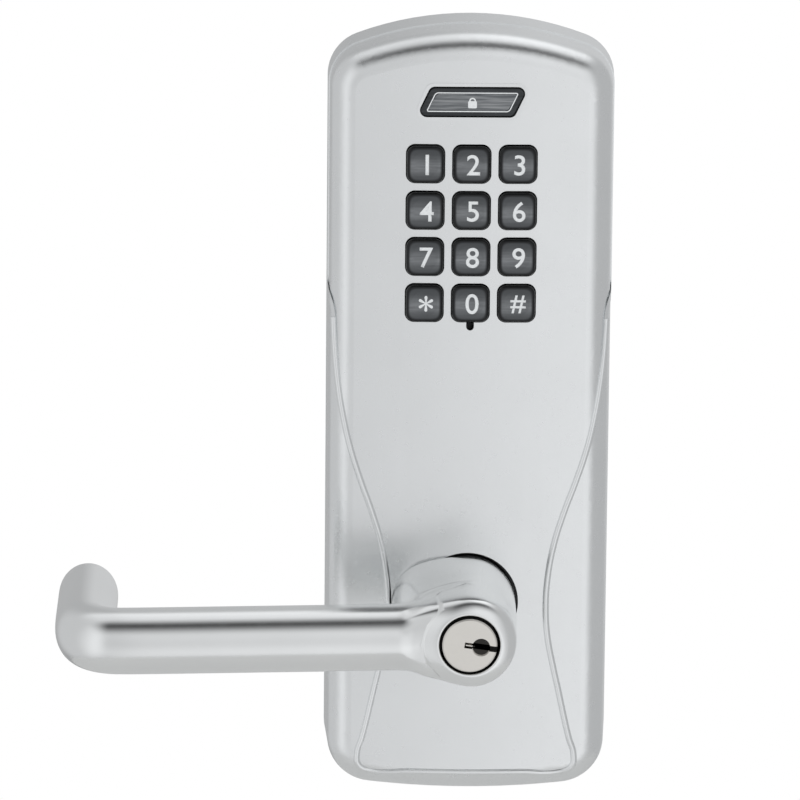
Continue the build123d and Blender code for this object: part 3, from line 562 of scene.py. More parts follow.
# Painted shade: the cylinder shell is made near-black to stand for the shadow in the gap round the plug.
GAP_SHADE_SHELL = MetalFinish("painted_gap_shade", (0.03, 0.03, 0.03), (0.015, 0.015, 0.015), 0.5, 0.08)
TURNED_BRASS = MetalFinish(
    "turned_brass", (0.83, 0.64, 0.32), (0.72, 0.52, 0.24), 0.25, 0.05, Brushing.ROUND_LEVER_AXIS, 7000.0
)
# Key caps get painted shade round their borders and a painted highlight band across them.
KEY_METAL = KeyFinish("key_metal", (0.07, 0.075, 0.08), (0.24, 0.25, 0.26), 0.34, framed=True)
BADGE_METAL = KeyFinish("badge_metal", (0.03, 0.033, 0.036), (0.055, 0.06, 0.065), 0.34)
GASKET_RUBBER = PlasticFinish("gasket_rubber", (0.028, 0.028, 0.03), 0.75, 1400.0, 4e-5)
ACETAL_BLACK = PlasticFinish("acetal_black", (0.02, 0.02, 0.022), 0.5)
SILICONE_GREY = PlasticFinish("silicone_grey", (0.42, 0.43, 0.44), 0.6, soft=0.1)
CHIP_BLACK = PlasticFinish("chip_black", (0.02, 0.02, 0.02), 0.42, coat=0.1)
CONNECTOR_WHITE = PlasticFinish("connector_white", (0.82, 0.81, 0.77), 0.45, soft=0.15)
CLEAR_PLASTIC = ClearFinish("clear_plastic", (0.92, 0.95, 0.97), 0.08)
BOARD_GREEN = BoardFinish("board_laminate", (0.02, 0.13, 0.06), (0.05, 0.22, 0.10), (0.78, 0.68, 0.42))
# White print with a faint painted glow from its emission.
LEGEND_WHITE = InkFinish("legend_white", (0.80, 0.82, 0.83), 0.12)
BADGE_FIELD = KeyFinish("badge_field", (0.10, 0.11, 0.12), (0.34, 0.35, 0.36), 0.35)
FLOOR_PAPER = PlasticFinish("floor_paper", (0.85, 0.85, 0.84), 0.8)

FINISH_NODES: dict[object, tuple[str, ...]] = {
    SATIN_CHROME: ("front_housing", "lever_handle"),
    GASKET_RUBBER: ("mounting_gasket", "cable_grommet"),
    ZINC_PLATE: (
        "backplate", "mounting_posts", "case_screws", "board_screws", "dome_switches", "spring_cage",
        "lock_motor", "motor_bracket", "motor_screws", "drive_hub", "spindle", "clutch_collar",
        "clutch_fork",
    ),
    ACETAL_BLACK: ("keypad_frame", "lever_bushing", "cylinder_holder"),
    BOARD_GREEN: ("keypad_board",),
    CONNECTOR_WHITE: ("backlight_leds", "harness_socket"),
    SILICONE_GREY: ("keymat",),
    CLEAR_PLASTIC: ("light_pipes",),
    CHIP_BLACK: ("buzzer", "controller_chip"),
    BLACK_STEEL: (
        "thrust_washer", "return_spring", "retaining_ring", "lever_screw", "pin_springs",
        "cylinder_retainer",
    ),
    # The shell is darkened as painted shade in the gap round the plug.
    GAP_SHADE_SHELL: ("cylinder_shell",),
    TURNED_BRASS: ("driver_pins", "key_pins", "tailpiece", "drive_screw"),
    CYLINDER_NICKEL: ("cylinder_plug",),
    BADGE_METAL: ("status_button",),
}
NODE_FINISHES = {node: finish for finish, nodes in FINISH_NODES.items() for node in nodes}


class Wardrobe:
    """Builds each finish once and dresses objects with it."""

    def __init__(self) -> None:
        """Start with no material built."""
        self.built: dict[str, bpy.types.Material] = {}

    def material(self, finish: object) -> bpy.types.Material:
        """Give the material of a finish.

        Args:
            finish: One of the finish objects above.

        Returns:
            Its material, built at the first call.
        """
        if finish.name not in self.built:
            self.built[finish.name] = finish.build()
        return self.built[finish.name]

    def dress(self, piece: bpy.types.Object, finish: object) -> None:
        """Give a piece one finish all over."""
        piece.data.materials.clear()
        piece.data.materials.append(self.material(finish))

    def fit(self, piece: bpy.types.Object, finish: object, body: str, slot: str) -> None:
        """Dress a new piece and let it ride on a body.

        Args:
            piece: Finished piece.
            finish: Its finish.
            body: Name of the body that it moves with.
            slot: Name of the record's material slot; not used.
        """
        self.dress(piece, finish)
        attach(piece, body)
        log.info("built %s", piece.name)

    def dress_nodes(self, nodes: dict[str, bpy.types.Object]) -> None:
        """Give every CAD node its finish.

        Args:
            nodes: CAD nodes by name.
        """
        for name, node in nodes.items():
            self.dress(node, NODE_FINISHES.get(name, KEY_METAL))
            log.info("dressed %s", name)


# ---------------------------------------------------------------------------
# Modelling helpers
# ---------------------------------------------------------------------------


def clear_selection() -> None:
    """Deselect everything, so that an operator acts only on what is chosen next."""
    if bpy.context.object and bpy.context.object.mode != "OBJECT":
        bpy.ops.object.mode_set(mode="OBJECT")
    bpy.ops.object.select_all(action="DESELECT")


def choose(piece: bpy.types.Object) -> None:
    """Make one object the only selected and active one."""
    clear_selection()
    piece.select_set(True)
    bpy.context.view_layer.objects.active = piece


def settle(piece: bpy.types.Object) -> None:
    """Move an object's place, turn and scale into its mesh."""
    choose(piece)
    bpy.ops.object.transform_apply(location=True, rotation=True, scale=True)


def apply_modifiers(piece: bpy.types.Object) -> None:
    """Apply every modifier of a piece in order."""
    choose(piece)
    for modifier in list(piece.modifiers):
        bpy.ops.object.modifier_apply(modifier=modifier.name)


def smooth_by_subdivision(piece: bpy.types.Object, levels: int) -> None:
    """Round a cage with an applied Subdivision Surface and smooth shading.

    Args:
        piece: Cage mesh.
        levels: Subdivision levels.
    """
    rounding = piece.modifiers.new("rounding", "SUBSURF")
    rounding.levels = levels
    rounding.render_levels = levels
    apply_modifiers(piece)
    bpy.ops.object.shade_smooth()


def edit(piece: bpy.types.Object, mode: str = "VERT") -> None:
    """Open a piece in edit mode with everything selected.

    Args:
        piece: Object to edit.
        mode: VERT, EDGE or FACE selection.
    """
    choose(piece)
    bpy.ops.object.mode_set(mode="EDIT")
    bpy.ops.mesh.select_mode(type=mode)
    bpy.ops.mesh.select_all(action="SELECT")


def leave_edit() -> None:
    """Go back to object mode."""
    bpy.ops.object.mode_set(mode="OBJECT")


def close_outwards() -> None:
    """Turn every face of the edited piece outwards and go back to object mode."""
    bpy.ops.mesh.select_all(action="SELECT")
    bpy.ops.mesh.normals_make_consistent(inside=False)
    leave_edit()


def seat_on(piece: bpy.types.Object, target: bpy.types.Object, backwards: bool) -> None:
    """Add a modifier that lays a piece on a surface along the lever axis.

    Args:
        piece: Piece to lay down.
        target: Object that it is laid on.
        backwards: Whether it may also move towards the front.
    """
    wrap = piece.modifiers.new("seat", "SHRINKWRAP")
    wrap.target = target
    wrap.wrap_method = "PROJECT"
    wrap.use_project_y = True
    wrap.use_positive_direction = True
    wrap.use_negative_direction = backwards


def select_where(piece: bpy.types.Object, test: object, mode: str = "VERT") -> int:
    """Select the vertices or faces of the edited piece that pass a test of their place.

    Args:
        piece: Object in edit mode.
        test: Function from a place to True or False.
        mode: VERT or FACE.

    Returns:
        How many were selected.
    """
    bpy.ops.mesh.select_mode(type=mode)
    bpy.ops.mesh.select_all(action="DESELECT")
    bpy.ops.object.mode_set(mode="OBJECT")
    items = piece.data.vertices if mode == "VERT" else piece.data.polygons
    chosen = 0
    for item in items:
        place = item.co if mode == "VERT" else item.center
        item.select = bool(test(place))
        chosen += item.select
    bpy.ops.object.mode_set(mode="EDIT")
    return chosen


def pull(step: tuple[float, float, float]) -> None:
    """Extrude the selection by a step."""
    bpy.ops.mesh.extrude_region_move(TRANSFORM_OT_translate={"value": step})


def shift(step: tuple[float, float, float]) -> None:
    """Move the selection by a step."""
    bpy.ops.transform.translate(value=step)


def resize(factors: tuple[float, float, float], centre: tuple[float, float, float]) -> None:
    """Scale the selection about a centre.

    Args:
        factors: Scale along X, Y and Z.
        centre: Fixed point.
    """
    bpy.ops.transform.resize(value=factors, center_override=centre)


# ---------------------------------------------------------------------------
# Lever
# ---------------------------------------------------------------------------


@dataclass
class LeverHandle:
    """Hub, boot, arm and return of the lever as one smooth casting."""

    wardrobe: Wardrobe
    droop: float = 1.2
    segments: int = 12
    neck_radius: float = 14.6 * MM
    boot_radius: float = 15.0 * MM
    boot_offsets: tuple[tuple[float, float], ...] = (
        (46 * MM, 8.6 * MM), (54 * MM, 8.2 * MM), (60 * MM, 6.6 * MM), (65 * MM, 4.6 * MM),
        (71 * MM, 2.6 * MM), (75.5 * MM, 1.3 * MM), (77.2 * MM, 0.8 * MM),
    )
    neck_back: float = 14.7 * MM
    boot_back: float = 30.75 * MM
    arm_back: float = 57.5 * MM
    arm_depth: float = 67.8 * MM
    hub_front: float = 78.0 * MM
    bore_radius: float = 12.6 * MM
    bore_front: float = 74.5 * MM
    hole_radius: float = 9.15 * MM
    half_height: float = 10.3 * MM
    half_thickness: float = 9.5 * MM
    arm_start: float = -18.8 * MM
    arm_skew: float = 12.0
    rim_lift: float = 0.3 * MM
    arm_stations: tuple[float, ...] = (-21.8 * MM, -30 * MM, -45 * MM, -65 * MM, -85 * MM)
    join_back: float = 50.75 * MM
    arm_cage: float = 1.026
    bend_start: float = -106.3 * MM
    bend_radius: float = 12.0 * MM
    return_end: float = 14.0 * MM

    @property
    def cage(self) -> float:
        """How far out a cage ring stands for its rounded radius to come out as one."""
        return 6 / (4 + 2 * math.cos(2 * math.pi / self.segments))

    def ring_to(self, depth: float, radius: float, start: float, start_radius: float) -> None:
        """Extrude the selected ring to a depth and a radius.

        Args:
            depth: New depth.
            radius: New radius.
            start: Depth of the selected ring.
            start_radius: Radius of the selected ring.
        """
        pull((0, start - depth, 0))
        factor = radius / start_radius
        resize((factor, 1, factor), (0, -depth, 0))

    def column(self) -> bpy.types.Object:
        """Raise the neck and hub ring by ring, then turn back down the bore.

        Returns:
            The open cage.
        """
        clear_selection()
        bpy.ops.mesh.primitive_circle_add(
            vertices=self.segments,
            radius=self.neck_radius * self.cage,
            location=(0, -self.neck_back, 0),
            rotation=(math.pi / 2, 0, 0),
        )
        piece = bpy.context.object
        piece.name = "lever_casting"
        settle(piece)
        edit(piece)
        hub = self.neck_radius
        boot = self.boot_radius
        rings = [
            (self.boot_back - 2.0 * MM, hub),
            (self.boot_back - 0.1 * MM, hub),
            (self.boot_back + 0.1 * MM, boot),
            (self.boot_back + 0.5 * MM, boot),
            (42.0 * MM, boot),
            (51.0 * MM, boot),
            (self.arm_back, hub + 0.2 * MM),
            (62.6 * MM, hub),
            (self.arm_depth, hub),
            (74.0 * MM, hub),
            (76.6 * MM, hub - 0.9 * MM),
            (self.hub_front, hub - 4.3 * MM),
            (self.hub_front, self.hole_radius + 0.35 * MM),
            (self.hub_front - 0.5 * MM, self.hole_radius),
            (self.bore_front, self.hole_radius),
            (self.bore_front - 0.1 * MM, self.bore_radius),
            (60.0 * MM, self.bore_radius),
            (30.0 * MM, self.bore_radius),
            (self.neck_back, self.bore_radius),
        ]
        depth, radius = self.neck_back, hub
        for next_depth, next_radius in rings:
            self.ring_to(next_depth, next_radius, depth, radius)
            depth, radius = next_depth, next_radius
        bpy.ops.mesh.select_all(action="DESELECT")
        select_where(piece, lambda place: abs(place.y + self.neck_back) < 0.01 * MM)
        bpy.ops.mesh.bridge_edge_loops()
        leave_edit()
        return piece

    def widen_boot(self, piece: bpy.types.Object) -> None:
        """Push the arm side of the neck outwards, most at the escutcheon and less towards the front."""
        edit(piece)
        outer = self.neck_radius * self.cage - 1.5 * MM
        low = self.boot_back
        for high, offset in self.boot_offsets:

            def in_ring(place: Vector, low: float = low, high: float = high) -> bool:
                return low < -place.y < high and place.x < -1 * MM and math.hypot(place.x, place.z) > outer

            select_where(piece, in_ring)
            shift((-offset, 0, 0))
            low = high
        leave_edit()

    def open_for_arm(self, piece: bpy.types.Object) -> None:
        """Cut the opening that the arm grows from."""
        edit(piece, "FACE")

        def behind_arm(place: Vector) -> bool:
            outside = math.hypot(place.x, place.z) > self.neck_radius - 2.0 * MM
            return place.x < -6.0 * MM and outside and self.arm_back < -place.y < 76 * MM

        log.info("arm opening: %d faces", select_where(piece, behind_arm, "FACE"))
        bpy.ops.mesh.delete(type="FACE")
        leave_edit()

    def arm(self, piece: bpy.types.Object) -> None:
        """Add the arm and its return to the cage, and join it to the opening."""
        edit(piece)
        bpy.ops.mesh.select_all(action="DESELECT")
        centre = (self.arm_start, -self.arm_depth, 0)
        bpy.ops.mesh.primitive_circle_add(
            vertices=16, radius=1, location=centre, rotation=(0, math.pi / 2, 0)
        )
        resize((1, self.half_thickness * self.arm_cage, self.half_height * self.arm_cage), centre)
        bpy.ops.transform.rotate(value=math.radians(self.arm_skew), orient_axis="Z", center_override=centre)
        start = self.arm_start
        for place in (*self.arm_stations, self.bend_start):
            pull((place - start, 0, 0))
            resize((0, 1, 1), (place, 0, 0))
            start = place
        bpy.ops.mesh.spin(
            steps=5, angle=math.pi / 2, axis=(0, 0, 1),
            center=(self.bend_start, self.bend_radius - self.arm_depth, 0),
        )
        depth = self.arm_depth - self.bend_radius
        outer = self.bend_start - self.bend_radius
        cap = self.return_end - 0.001 * MM
        for target, factor in (
            (40 * MM, 1), (22 * MM, 1), (16.5 * MM, 1), (self.return_end, 0.985), (cap, 0.8), (cap, 0.4),
            (cap, 0.4),
        ):
            pull((0, depth - target, 0))
            resize((factor, 1, factor), (outer, -target, 0))
            depth = target
        bpy.ops.mesh.edge_face_add()
        bpy.ops.mesh.poke()
        leave_edit()

    def join(self, piece: bpy.types.Object) -> None:
        """Bridge the opening and the arm, and shape the flare between them."""
        edit(piece, "EDGE")
        bpy.ops.mesh.select_all(action="DESELECT")
        bpy.ops.mesh.select_non_manifold(
            extend=False, use_wire=False, use_boundary=True, use_multi_face=False
        )
        bpy.ops.mesh.bridge_edge_loops(number_cuts=1, interpolation="LINEAR")
        leave_edit()
        edit(piece)

        def at_join(place: Vector) -> bool:
            outside = math.hypot(place.x, place.z) > self.neck_radius - 2.0 * MM
            return -20 * MM < place.x < -4 * MM and outside and self.join_back < -place.y

        select_where(piece, at_join)
        bpy.ops.mesh.vertices_smooth(factor=0.5, repeat=2)
        select_where(piece, lambda place: -15 * MM < place.x < -9 * MM and 75 * MM < -place.y < 77.3 * MM)
        shift((0, -self.rim_lift, 0))
        close_outwards()

    def build(self) -> bpy.types.Object:
        """Make the lever.

        Returns:
            The finished piece.
        """
        piece = self.column()
        self.widen_boot(piece)
        self.open_for_arm(piece)
        self.arm(piece)
        self.join(piece)
        smooth_by_subdivision(piece, 3)
        piece.rotation_euler = (0, -math.radians(self.droop), 0)
        settle(piece)
        return piece

    def dress(self, piece: bpy.types.Object) -> None:
        """Plate the lever and put it in the place of its CAD node."""
        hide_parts("lever_handle")
        self.wardrobe.fit(piece, LEVER_CHROME, "lever", "satin_chrome")


# ---------------------------------------------------------------------------
# Escutcheon bead
# ---------------------------------------------------------------------------


@dataclass
class PanelBead:
    """Rounded crest on the bead round the waisted lower panel."""

    wardrobe: Wardrobe
    housing: bpy.types.Object
    radius: float = 1.0 * MM
    sunk: float = 0.44 * MM
    right_side: tuple[tuple[float, float], ...] = (
        (42.18, 90.18), (41.62, 79.7), (40.57, 69.31), (38.89, 59.0), (36.54, 48.83), (33.42, 38.87),
        (29.89, 29.0), (26.92, 18.9), (25.12, 8.52), (24.55, -2.0), (25.22, -11.17), (26.94, -20.18),
        (28.94, -29.09), (30.87, -38.01), (32.4, -44.4), (33.94, -49.75), (33.3, -53.65), (29.7, -55.4),
        (17.8, -55.4),
    )

    def places(self) -> list[Vector]:
        """Points along the bead in front of the case, from the upper right to the upper left."""
        right = [Vector((x * MM, -40 * MM, z * MM)) for x, z in self.right_side]
        bottom = Vector((0, -40 * MM, -55.55 * MM))
        return [*right, bottom, *(Vector((-place.x, place.y, place.z)) for place in reversed(right))]

    def centre_line(self) -> bpy.types.Object:
        """Lay the line of the bead on the face of the case.

        Returns:
            The line as a mesh of edges.
        """
        clear_selection()
        bpy.ops.curve.primitive_bezier_curve_add()
        line = bpy.context.object
        line.name = "panel_bead"
        line.data.resolution_u = 6
        places = self.places()
        points = line.data.splines[0].bezier_points
        points.add(len(places) - len(points))
        for point, place in zip(points, places):
            point.co = place
            point.handle_left_type = point.handle_right_type = "AUTO"
        bpy.ops.object.convert(target="MESH")
        settle(line)
        seat_on(line, self.housing, backwards=False)
        apply_modifiers(line)
        edit(line)
        bpy.ops.mesh.select_all(action="SELECT")
        bpy.ops.mesh.vertices_smooth(factor=0.5, repeat=2, xaxis=False, zaxis=False)
        shift((0, self.sunk, 0))
        leave_edit()
        return line

    def build(self) -> bpy.types.Object:
        """Make the crest round its line.

        Returns:
            The finished piece.
        """
        line = self.centre_line()
        choose(line)
        bpy.ops.object.convert(target="CURVE")
        crest = bpy.context.object
        crest.data.bevel_depth = self.radius
        crest.data.bevel_resolution = 5
        crest.data.use_fill_caps = True
        bpy.ops.object.convert(target="MESH")
        crest = bpy.context.object
        bpy.ops.object.shade_smooth()
        return crest

    def run(self) -> None:
        """Build the crest, plate it and fix it to the case."""
        crest = self.build()
        self.wardrobe.fit(crest, SATIN_CHROME, "case", "satin_chrome")


@dataclass
class KeywayWard:
    """Thin ward that stands in the keyway, and splits it in two."""

    wardrobe: Wardrobe
    turn: float = -7.8
    start: float = -1.3 * MM
    end: float = 1.6 * MM
    width: float = 0.5 * MM
    front: float = 78.25 * MM
    depth: float = 4.0 * MM

    def build(self) -> bpy.types.Object:
        """Make the ward as a bevelled bar.

        Returns:
            The finished piece.
        """
        clear_selection()
        middle = (self.start + self.end) / 2
        place = (middle, -self.front, 0)
        bpy.ops.mesh.primitive_plane_add(size=1, location=place, rotation=(math.pi / 2, 0, 0))
        piece = bpy.context.object
        piece.name = "keyway_ward"
        piece.scale = (self.end - self.start, self.width, 1)
        settle(piece)
        edit(piece, "FACE")
        bpy.ops.mesh.inset(thickness=0.1 * MM, depth=0.08 * MM)
        bpy.ops.mesh.select_all(action="DESELECT")
        leave_edit()
        plate = piece.modifiers.new("thickness", "SOLIDIFY")
        plate.thickness = self.depth
        plate.offset = -1
        apply_modifiers(piece)
        piece.rotation_euler = (0, -math.radians(self.turn), 0)
        settle(piece)
        return piece

    def run(self) -> None:
        """Build the ward and let it turn with the plug."""
        piece = self.build()
        self.wardrobe.fit(piece, CYLINDER_NICKEL, "key_plug", "cylinder_nickel")


# ---------------------------------------------------------------------------
# Keypad markings
# ---------------------------------------------------------------------------


@dataclass
class KeyLegends:
    """White figures let into the twelve key caps."""

    wardrobe: Wardrobe
    nodes: dict[str, bpy.types.Object]
    figure_height: float = 6.4 * MM
    star_height: float = 5.0 * MM
    hash_height: float = 5.7 * MM
    rightwards: float = 0.5 * MM
    thickness: float = 0.05 * MM
    boldness: float = 0.010

    @staticmethod
    def labels() -> dict[str, str]:
        """Figure of each key body."""
        figures = {f"key_{digit}": str(digit) for digit in range(10)}
        return {**figures, "key_star": "*", "key_hash": "#"}

    def height_of(self, figure: str) -> float:
        """Height of one figure.

        Args:
            figure: The printed character.

        Returns:
            Its height in metres.
        """
        return {"*": self.star_height, "#": self.hash_height}.get(figure, self.figure_height)

    def build(self, key: str, figure: str) -> bpy.types.Object:
        """Make the figure of one key.

        Args:
            key: Name of the key's node.
            figure: The printed character.

        Returns:
            The finished piece.
        """
        low, high = (Vector(corner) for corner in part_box(key))
        clear_selection()
        bpy.ops.object.text_add(rotation=(math.pi / 2, 0, 0))
        piece = bpy.context.object
        piece.name = key.replace("key_", "legend_")
        piece.data.body = figure
        piece.data.offset = self.boldness
        piece.data.resolution_u = 5
        bpy.ops.object.convert(target="MESH")
        settle(piece)
        corners = [Vector(corner) for corner in piece.bound_box]
        tall = max(corner.z for corner in corners) - min(corner.z for corner in corners)
        middle = sum(corners, Vector()) / 8
        scale = self.height_of(figure) / tall
        piece.scale = (scale, scale, scale)
        piece.location = (
            (low.x + high.x) / 2 + self.rightwards - middle.x * scale,
            low.y - 1 * MM,
            (low.z + high.z) / 2 - middle.z * scale,
        )
        settle(piece)
        edit(piece, "FACE")
        bpy.ops.mesh.remove_doubles(threshold=0.01 * MM)
        bpy.ops.mesh.subdivide(number_cuts=2)
        leave_edit()
        seat_on(piece, self.nodes[key], backwards=True)
        plate = piece.modifiers.new("thickness", "SOLIDIFY")
        plate.thickness = self.thickness
        plate.offset = 0
        apply_modifiers(piece)
        return piece

    def dress(self, piece: bpy.types.Object, key: str) -> None:
        """Ink one figure and let it ride on its key."""
        self.wardrobe.fit(piece, LEGEND_WHITE, key, "key_metal")

    def run(self) -> None:
        """Build and dress every figure."""
        for key, figure in self.labels().items():
            self.dress(self.build(key, figure), key)


@dataclass
class StatusBadge:
    """Thin outline and padlock sign on the leaning status button."""

    wardrobe: Wardrobe
    width: float = 25.6 * MM
    height: float = 6.1 * MM
    lean: float = 2.9 * MM
    line: float = 0.32 * MM
    relief: float = 0.06 * MM

    def middle(self) -> Vector:
        """Middle of the button's front."""
        low, high = (Vector(corner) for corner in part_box("status_button"))
        return Vector(((low.x + high.x) / 2, low.y, (low.z + high.z) / 2))

    def panel(self, name: str, width: float, height: float, lean: float) -> bpy.types.Object:
        """Make a flat leaning panel with rounded corners, facing the front.

        Args:
            name: Name of the piece.
            width: Length of its level edges.
            height: Height.
            lean: How far the top edge is moved to the right of the bottom edge.

        Returns:
            The panel, one face thick.
        """
        middle = self.middle()
        clear_selection()
        bpy.ops.mesh.primitive_plane_add(size=1, location=middle, rotation=(math.pi / 2, 0, 0))
        piece = bpy.context.object
        piece.name = name
        piece.scale = (width, height, 1)
        settle(piece)
        edit(piece)
        select_where(piece, lambda place: place.z > middle.z)
        shift((lean / 2, 0, 0))
        select_where(piece, lambda place: place.z < middle.z)
        shift((-lean / 2, 0, 0))
        bpy.ops.mesh.select_all(action="SELECT")
        bpy.ops.mesh.bevel(offset=0.9 * MM, segments=5, affect="VERTICES")
        leave_edit()
        return piece

    def outline(self) -> bpy.types.Object:
        """Make the thin raised outline."""
        piece = self.panel("badge_outline", self.width, self.height, self.lean)
        edit(piece, "FACE")
        bpy.ops.mesh.inset(thickness=self.line, depth=0)
        bpy.ops.mesh.delete(type="FACE")
        bpy.ops.mesh.select_all(action="SELECT")
        pull((0, -self.relief, 0))
        close_outwards()
        return piece

    def field(self) -> bpy.types.Object:
        """Make the lighter field inside the outline."""
        margin = 1.6 * self.line
        piece = self.panel("badge_field", self.width - 2 * margin, self.height - 2 * margin, self.lean)
        edit(piece, "FACE")
        pull((0, -self.relief / 2, 0))
        close_outwards()
        return piece

    def padlock(self) -> bpy.types.Object:
        """Make the padlock sign: a rounded body under a half ring."""
        middle = self.middle() + Vector((0, -self.relief / 2, 0))
        clear_selection()
        bpy.ops.mesh.primitive_torus_add(
            location=(middle.x, middle.y, middle.z + 0.35 * MM), rotation=(math.pi / 2, 0, 0),
            major_segments=32, minor_segments=8, major_radius=0.85 * MM, minor_radius=0.22 * MM,
        )
        piece = bpy.context.object
        piece.name = "badge_padlock"
        settle(piece)
        edit(piece)
        bpy.ops.mesh.bisect(
            plane_co=(middle.x, middle.y, middle.z + 0.35 * MM), plane_no=(0, 0, 1),
            clear_inner=True, use_fill=True,
        )
        bpy.ops.mesh.select_all(action="SELECT")
        resize((1, 0.25, 1), tuple(middle))
        bpy.ops.mesh.select_all(action="DESELECT")
        bpy.ops.mesh.primitive_plane_add(
            size=1, location=(middle.x, middle.y, middle.z - 0.75 * MM), rotation=(math.pi / 2, 0, 0)
        )
        resize((2.7 * MM, 1, 2.2 * MM), (middle.x, middle.y, middle.z - 0.75 * MM))
        bpy.ops.mesh.bevel(offset=0.35 * MM, segments=4, affect="VERTICES")
        pull((0, -self.relief, 0))
        close_outwards()
        return piece

    def run(self) -> None:
        """Build and dress the outline, the field and the sign."""
        pieces = ((self.outline(), LEGEND_WHITE), (self.field(), BADGE_FIELD), (self.padlock(), LEGEND_WHITE))
        for piece, finish in pieces:
            self.wardrobe.fit(piece, finish, "status_button", "key_metal")


# ---------------------------------------------------------------------------
# Studio
# ---------------------------------------------------------------------------


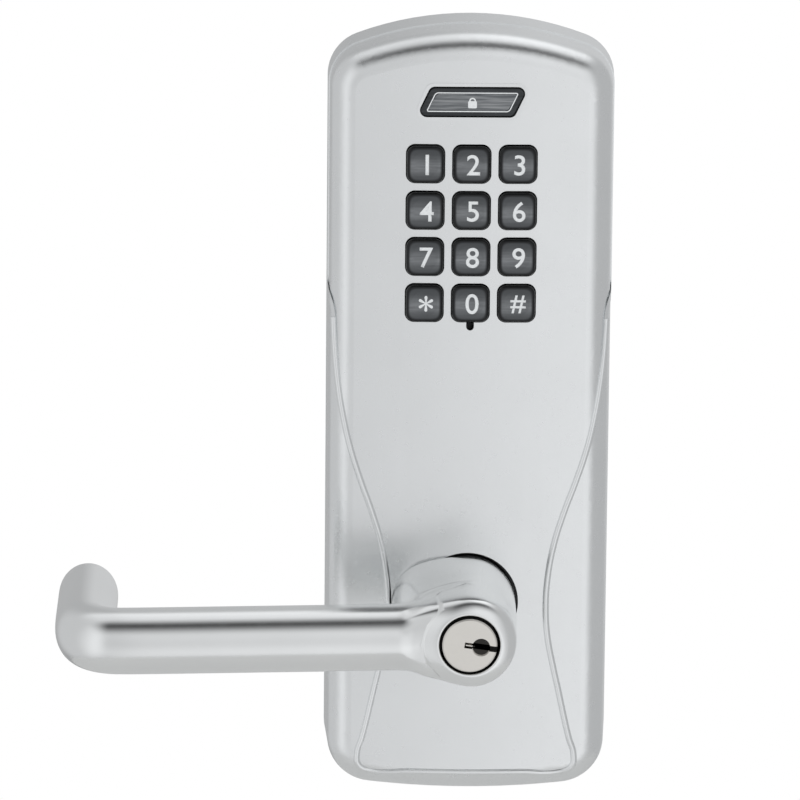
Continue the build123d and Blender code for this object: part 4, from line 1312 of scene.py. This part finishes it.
@dataclass
class Studio:
    """Light tent, floor and camera."""

    wardrobe: Wardrobe
    target: Vector = Vector((0, 0, 57 * MM))
    distance: float = 2.3
    azimuth: float = -1.2
    elevation: float = 14.5
    roll: float = 0.5
    aside: float = 21.07 * MM
    lens: float = 330.0
    front_tent: tuple[tuple[float, float], ...] = (
        (-180, 0.5), (-90, 0.15), (-30, 0.75), (0, 0.65), (25, 0.7), (60, 0.05), (90, 0.8), (110, 0.9),
        (130, 0.5), (180, 0.5),
    )
    side_tent: tuple[tuple[float, float], ...] = (
        (-180, 0.6), (-90, 0.6), (-40, 0.9), (0, 0.75), (60, 0.5), (180, 0.5),
    )

    def tent_ramp(
        self, sheet: NodeSheet, angle: bpy.types.NodeSocket, stops: tuple[tuple[float, float], ...]
    ) -> bpy.types.NodeSocket:
        """Brightness of the tent by angle.

        Args:
            sheet: Node sheet of the world.
            angle: Angle in radians from -pi to pi.
            stops: Angle in degrees and light of each soft panel or gap of the tent.

        Returns:
            The colour socket.
        """
        node = sheet.add("ValToRGB")
        share = sheet.maths("ADD", sheet.maths("MULTIPLY", angle, 0.5 / math.pi), 0.5)
        sheet.link(share, node.inputs[0])
        ramp = node.color_ramp
        ramp.interpolation = "EASE"
        for index, (degrees, _) in enumerate(stops):
            place = (degrees + 180) / 360
            stop = ramp.elements[index] if index < 2 else ramp.elements.new(place)
            stop.position = place
        for stop, (_, light) in zip(sorted(ramp.elements, key=lambda item: item.position), stops):
            stop.color = (light, light * 1.008, light * 1.02, 1)
        return node.outputs[0]

    def world(self) -> None:
        """Surround the lock with a soft tent, and a white ground for the camera."""
        world = bpy.data.worlds.new("light_tent")
        bpy.context.scene.world = world
        world.use_nodes = True
        sheet = NodeSheet(world.node_tree)
        split = sheet.add("SeparateXYZ")
        sheet.link(sheet.add("TexCoord").outputs["Generated"], split.inputs[0])
        across, inwards, up = split.outputs
        outwards = sheet.maths("MULTIPLY", inwards, -1.0)
        front = self.tent_ramp(sheet, sheet.maths("ARCTAN2", up, outwards), self.front_tent)
        side_angle = sheet.maths("ARCTAN2", across, outwards)
        side = self.tent_ramp(sheet, side_angle, self.side_tent)
        blend = sheet.fade(sheet.maths("ABSOLUTE", across), 0.35, 0.8)
        tilt = sheet.add("MapRange")
        tilt.inputs["From Min"].default_value = -0.13
        tilt.inputs["From Max"].default_value = 0.13
        tilt.inputs["To Min"].default_value = 0.93
        tilt.inputs["To Max"].default_value = 1.25
        sheet.link(across, tilt.inputs["Value"])
        tilted = sheet.add("Mix", data_type="RGBA", blend_type="MULTIPLY")
        tilted.inputs["Factor"].default_value = 1.0
        sheet.link(front, tilted.inputs[6])
        sheet.link(tilt.outputs["Result"], tilted.inputs[7])
        tent = sheet.add("Background")
        sheet.link(sheet.tint(blend, tilted.outputs[2], side), tent.inputs["Color"])
        ground = sheet.add("Background")
        ground.inputs["Color"].default_value = (1, 1, 1, 1)
        choice = sheet.add("MixShader")
        sheet.link(sheet.add("LightPath").outputs["Is Camera Ray"], choice.inputs[0])
        sheet.link(tent.outputs[0], choice.inputs[1])
        sheet.link(ground.outputs[0], choice.inputs[2])
        sheet.link(choice.outputs[0], sheet.add("OutputWorld").inputs["Surface"])

    def floor(self) -> None:
        """Lay a round pale floor under the lock."""
        clear_selection()
        bpy.ops.mesh.primitive_circle_add(vertices=96, radius=0.42, fill_type="NGON", location=(0, 0, -0.3))
        piece = bpy.context.object
        piece.name = "studio_floor"
        settle(piece)
        self.wardrobe.dress(piece, FLOOR_PAPER)

    def lamp(self, name: str, place: Vector, size: float, power: float) -> None:
        """Hang one soft lamp that points at the lock.

        Args:
            name: Name of the lamp.
            place: Where it hangs.
            size: Side of its square.
            power: Power in watts.
        """
        light = bpy.data.lights.new(name, "AREA")
        light.energy = power
        light.size = size
        lamp = bpy.data.objects.new(name, light)
        lamp.location = place
        lamp.rotation_euler = (self.target - place).to_track_quat("-Z", "Y").to_euler()
        lamp.visible_glossy = False
        bpy.context.scene.collection.objects.link(lamp)

    def camera(self) -> None:
        """Stand the camera at the viewing angle."""
        azimuth, elevation = math.radians(self.azimuth), math.radians(self.elevation)
        direction = Vector(
            (
                math.sin(azimuth) * math.cos(elevation),
                -math.cos(azimuth) * math.cos(elevation),
                math.sin(elevation),
            )
        )
        place = self.target + direction * self.distance
        right = Vector((math.cos(azimuth), math.sin(azimuth), 0))
        aim = self.target - right * self.aside
        look = (aim - place).to_track_quat("-Z", "Y").to_matrix().to_4x4()
        data = bpy.data.cameras.new("camera")
        data.lens = self.lens
        data.sensor_width = 36
        data.clip_start = 0.05
        camera = bpy.data.objects.new("camera", data)
        rolled = Matrix.Rotation(math.radians(self.roll), 4, "Z")
        camera.matrix_world = Matrix.Translation(place) @ look @ rolled
        bpy.context.scene.collection.objects.link(camera)
        bpy.context.scene.camera = camera
        bpy.context.scene.view_settings.view_transform = "Standard"

    def build(self) -> None:
        """Set up the whole studio."""
        self.world()
        self.floor()
        self.lamp("lamp_left", Vector((-1.2, -1.4, 1.5)), 1.0, 9.0)
        self.lamp("lamp_right", Vector((1.4, -1.2, 0.8)), 1.0, 5.0)
        self.camera()


def main() -> None:
    """Build the whole visual model round the CAD frame."""
    logging.basicConfig(level=logging.INFO, format="%(message)s")
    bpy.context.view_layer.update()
    wardrobe = Wardrobe()
    Studio(wardrobe).build()
    wardrobe.dress_nodes(frame["nodes"])
    lever = LeverHandle(wardrobe)
    lever.dress(lever.build())
    PanelBead(wardrobe, frame["nodes"]["front_housing"]).run()
    KeywayWard(wardrobe).run()
    KeyLegends(wardrobe, frame["nodes"]).run()
    StatusBadge(wardrobe).run()


if __name__ == "__main__":
    main()
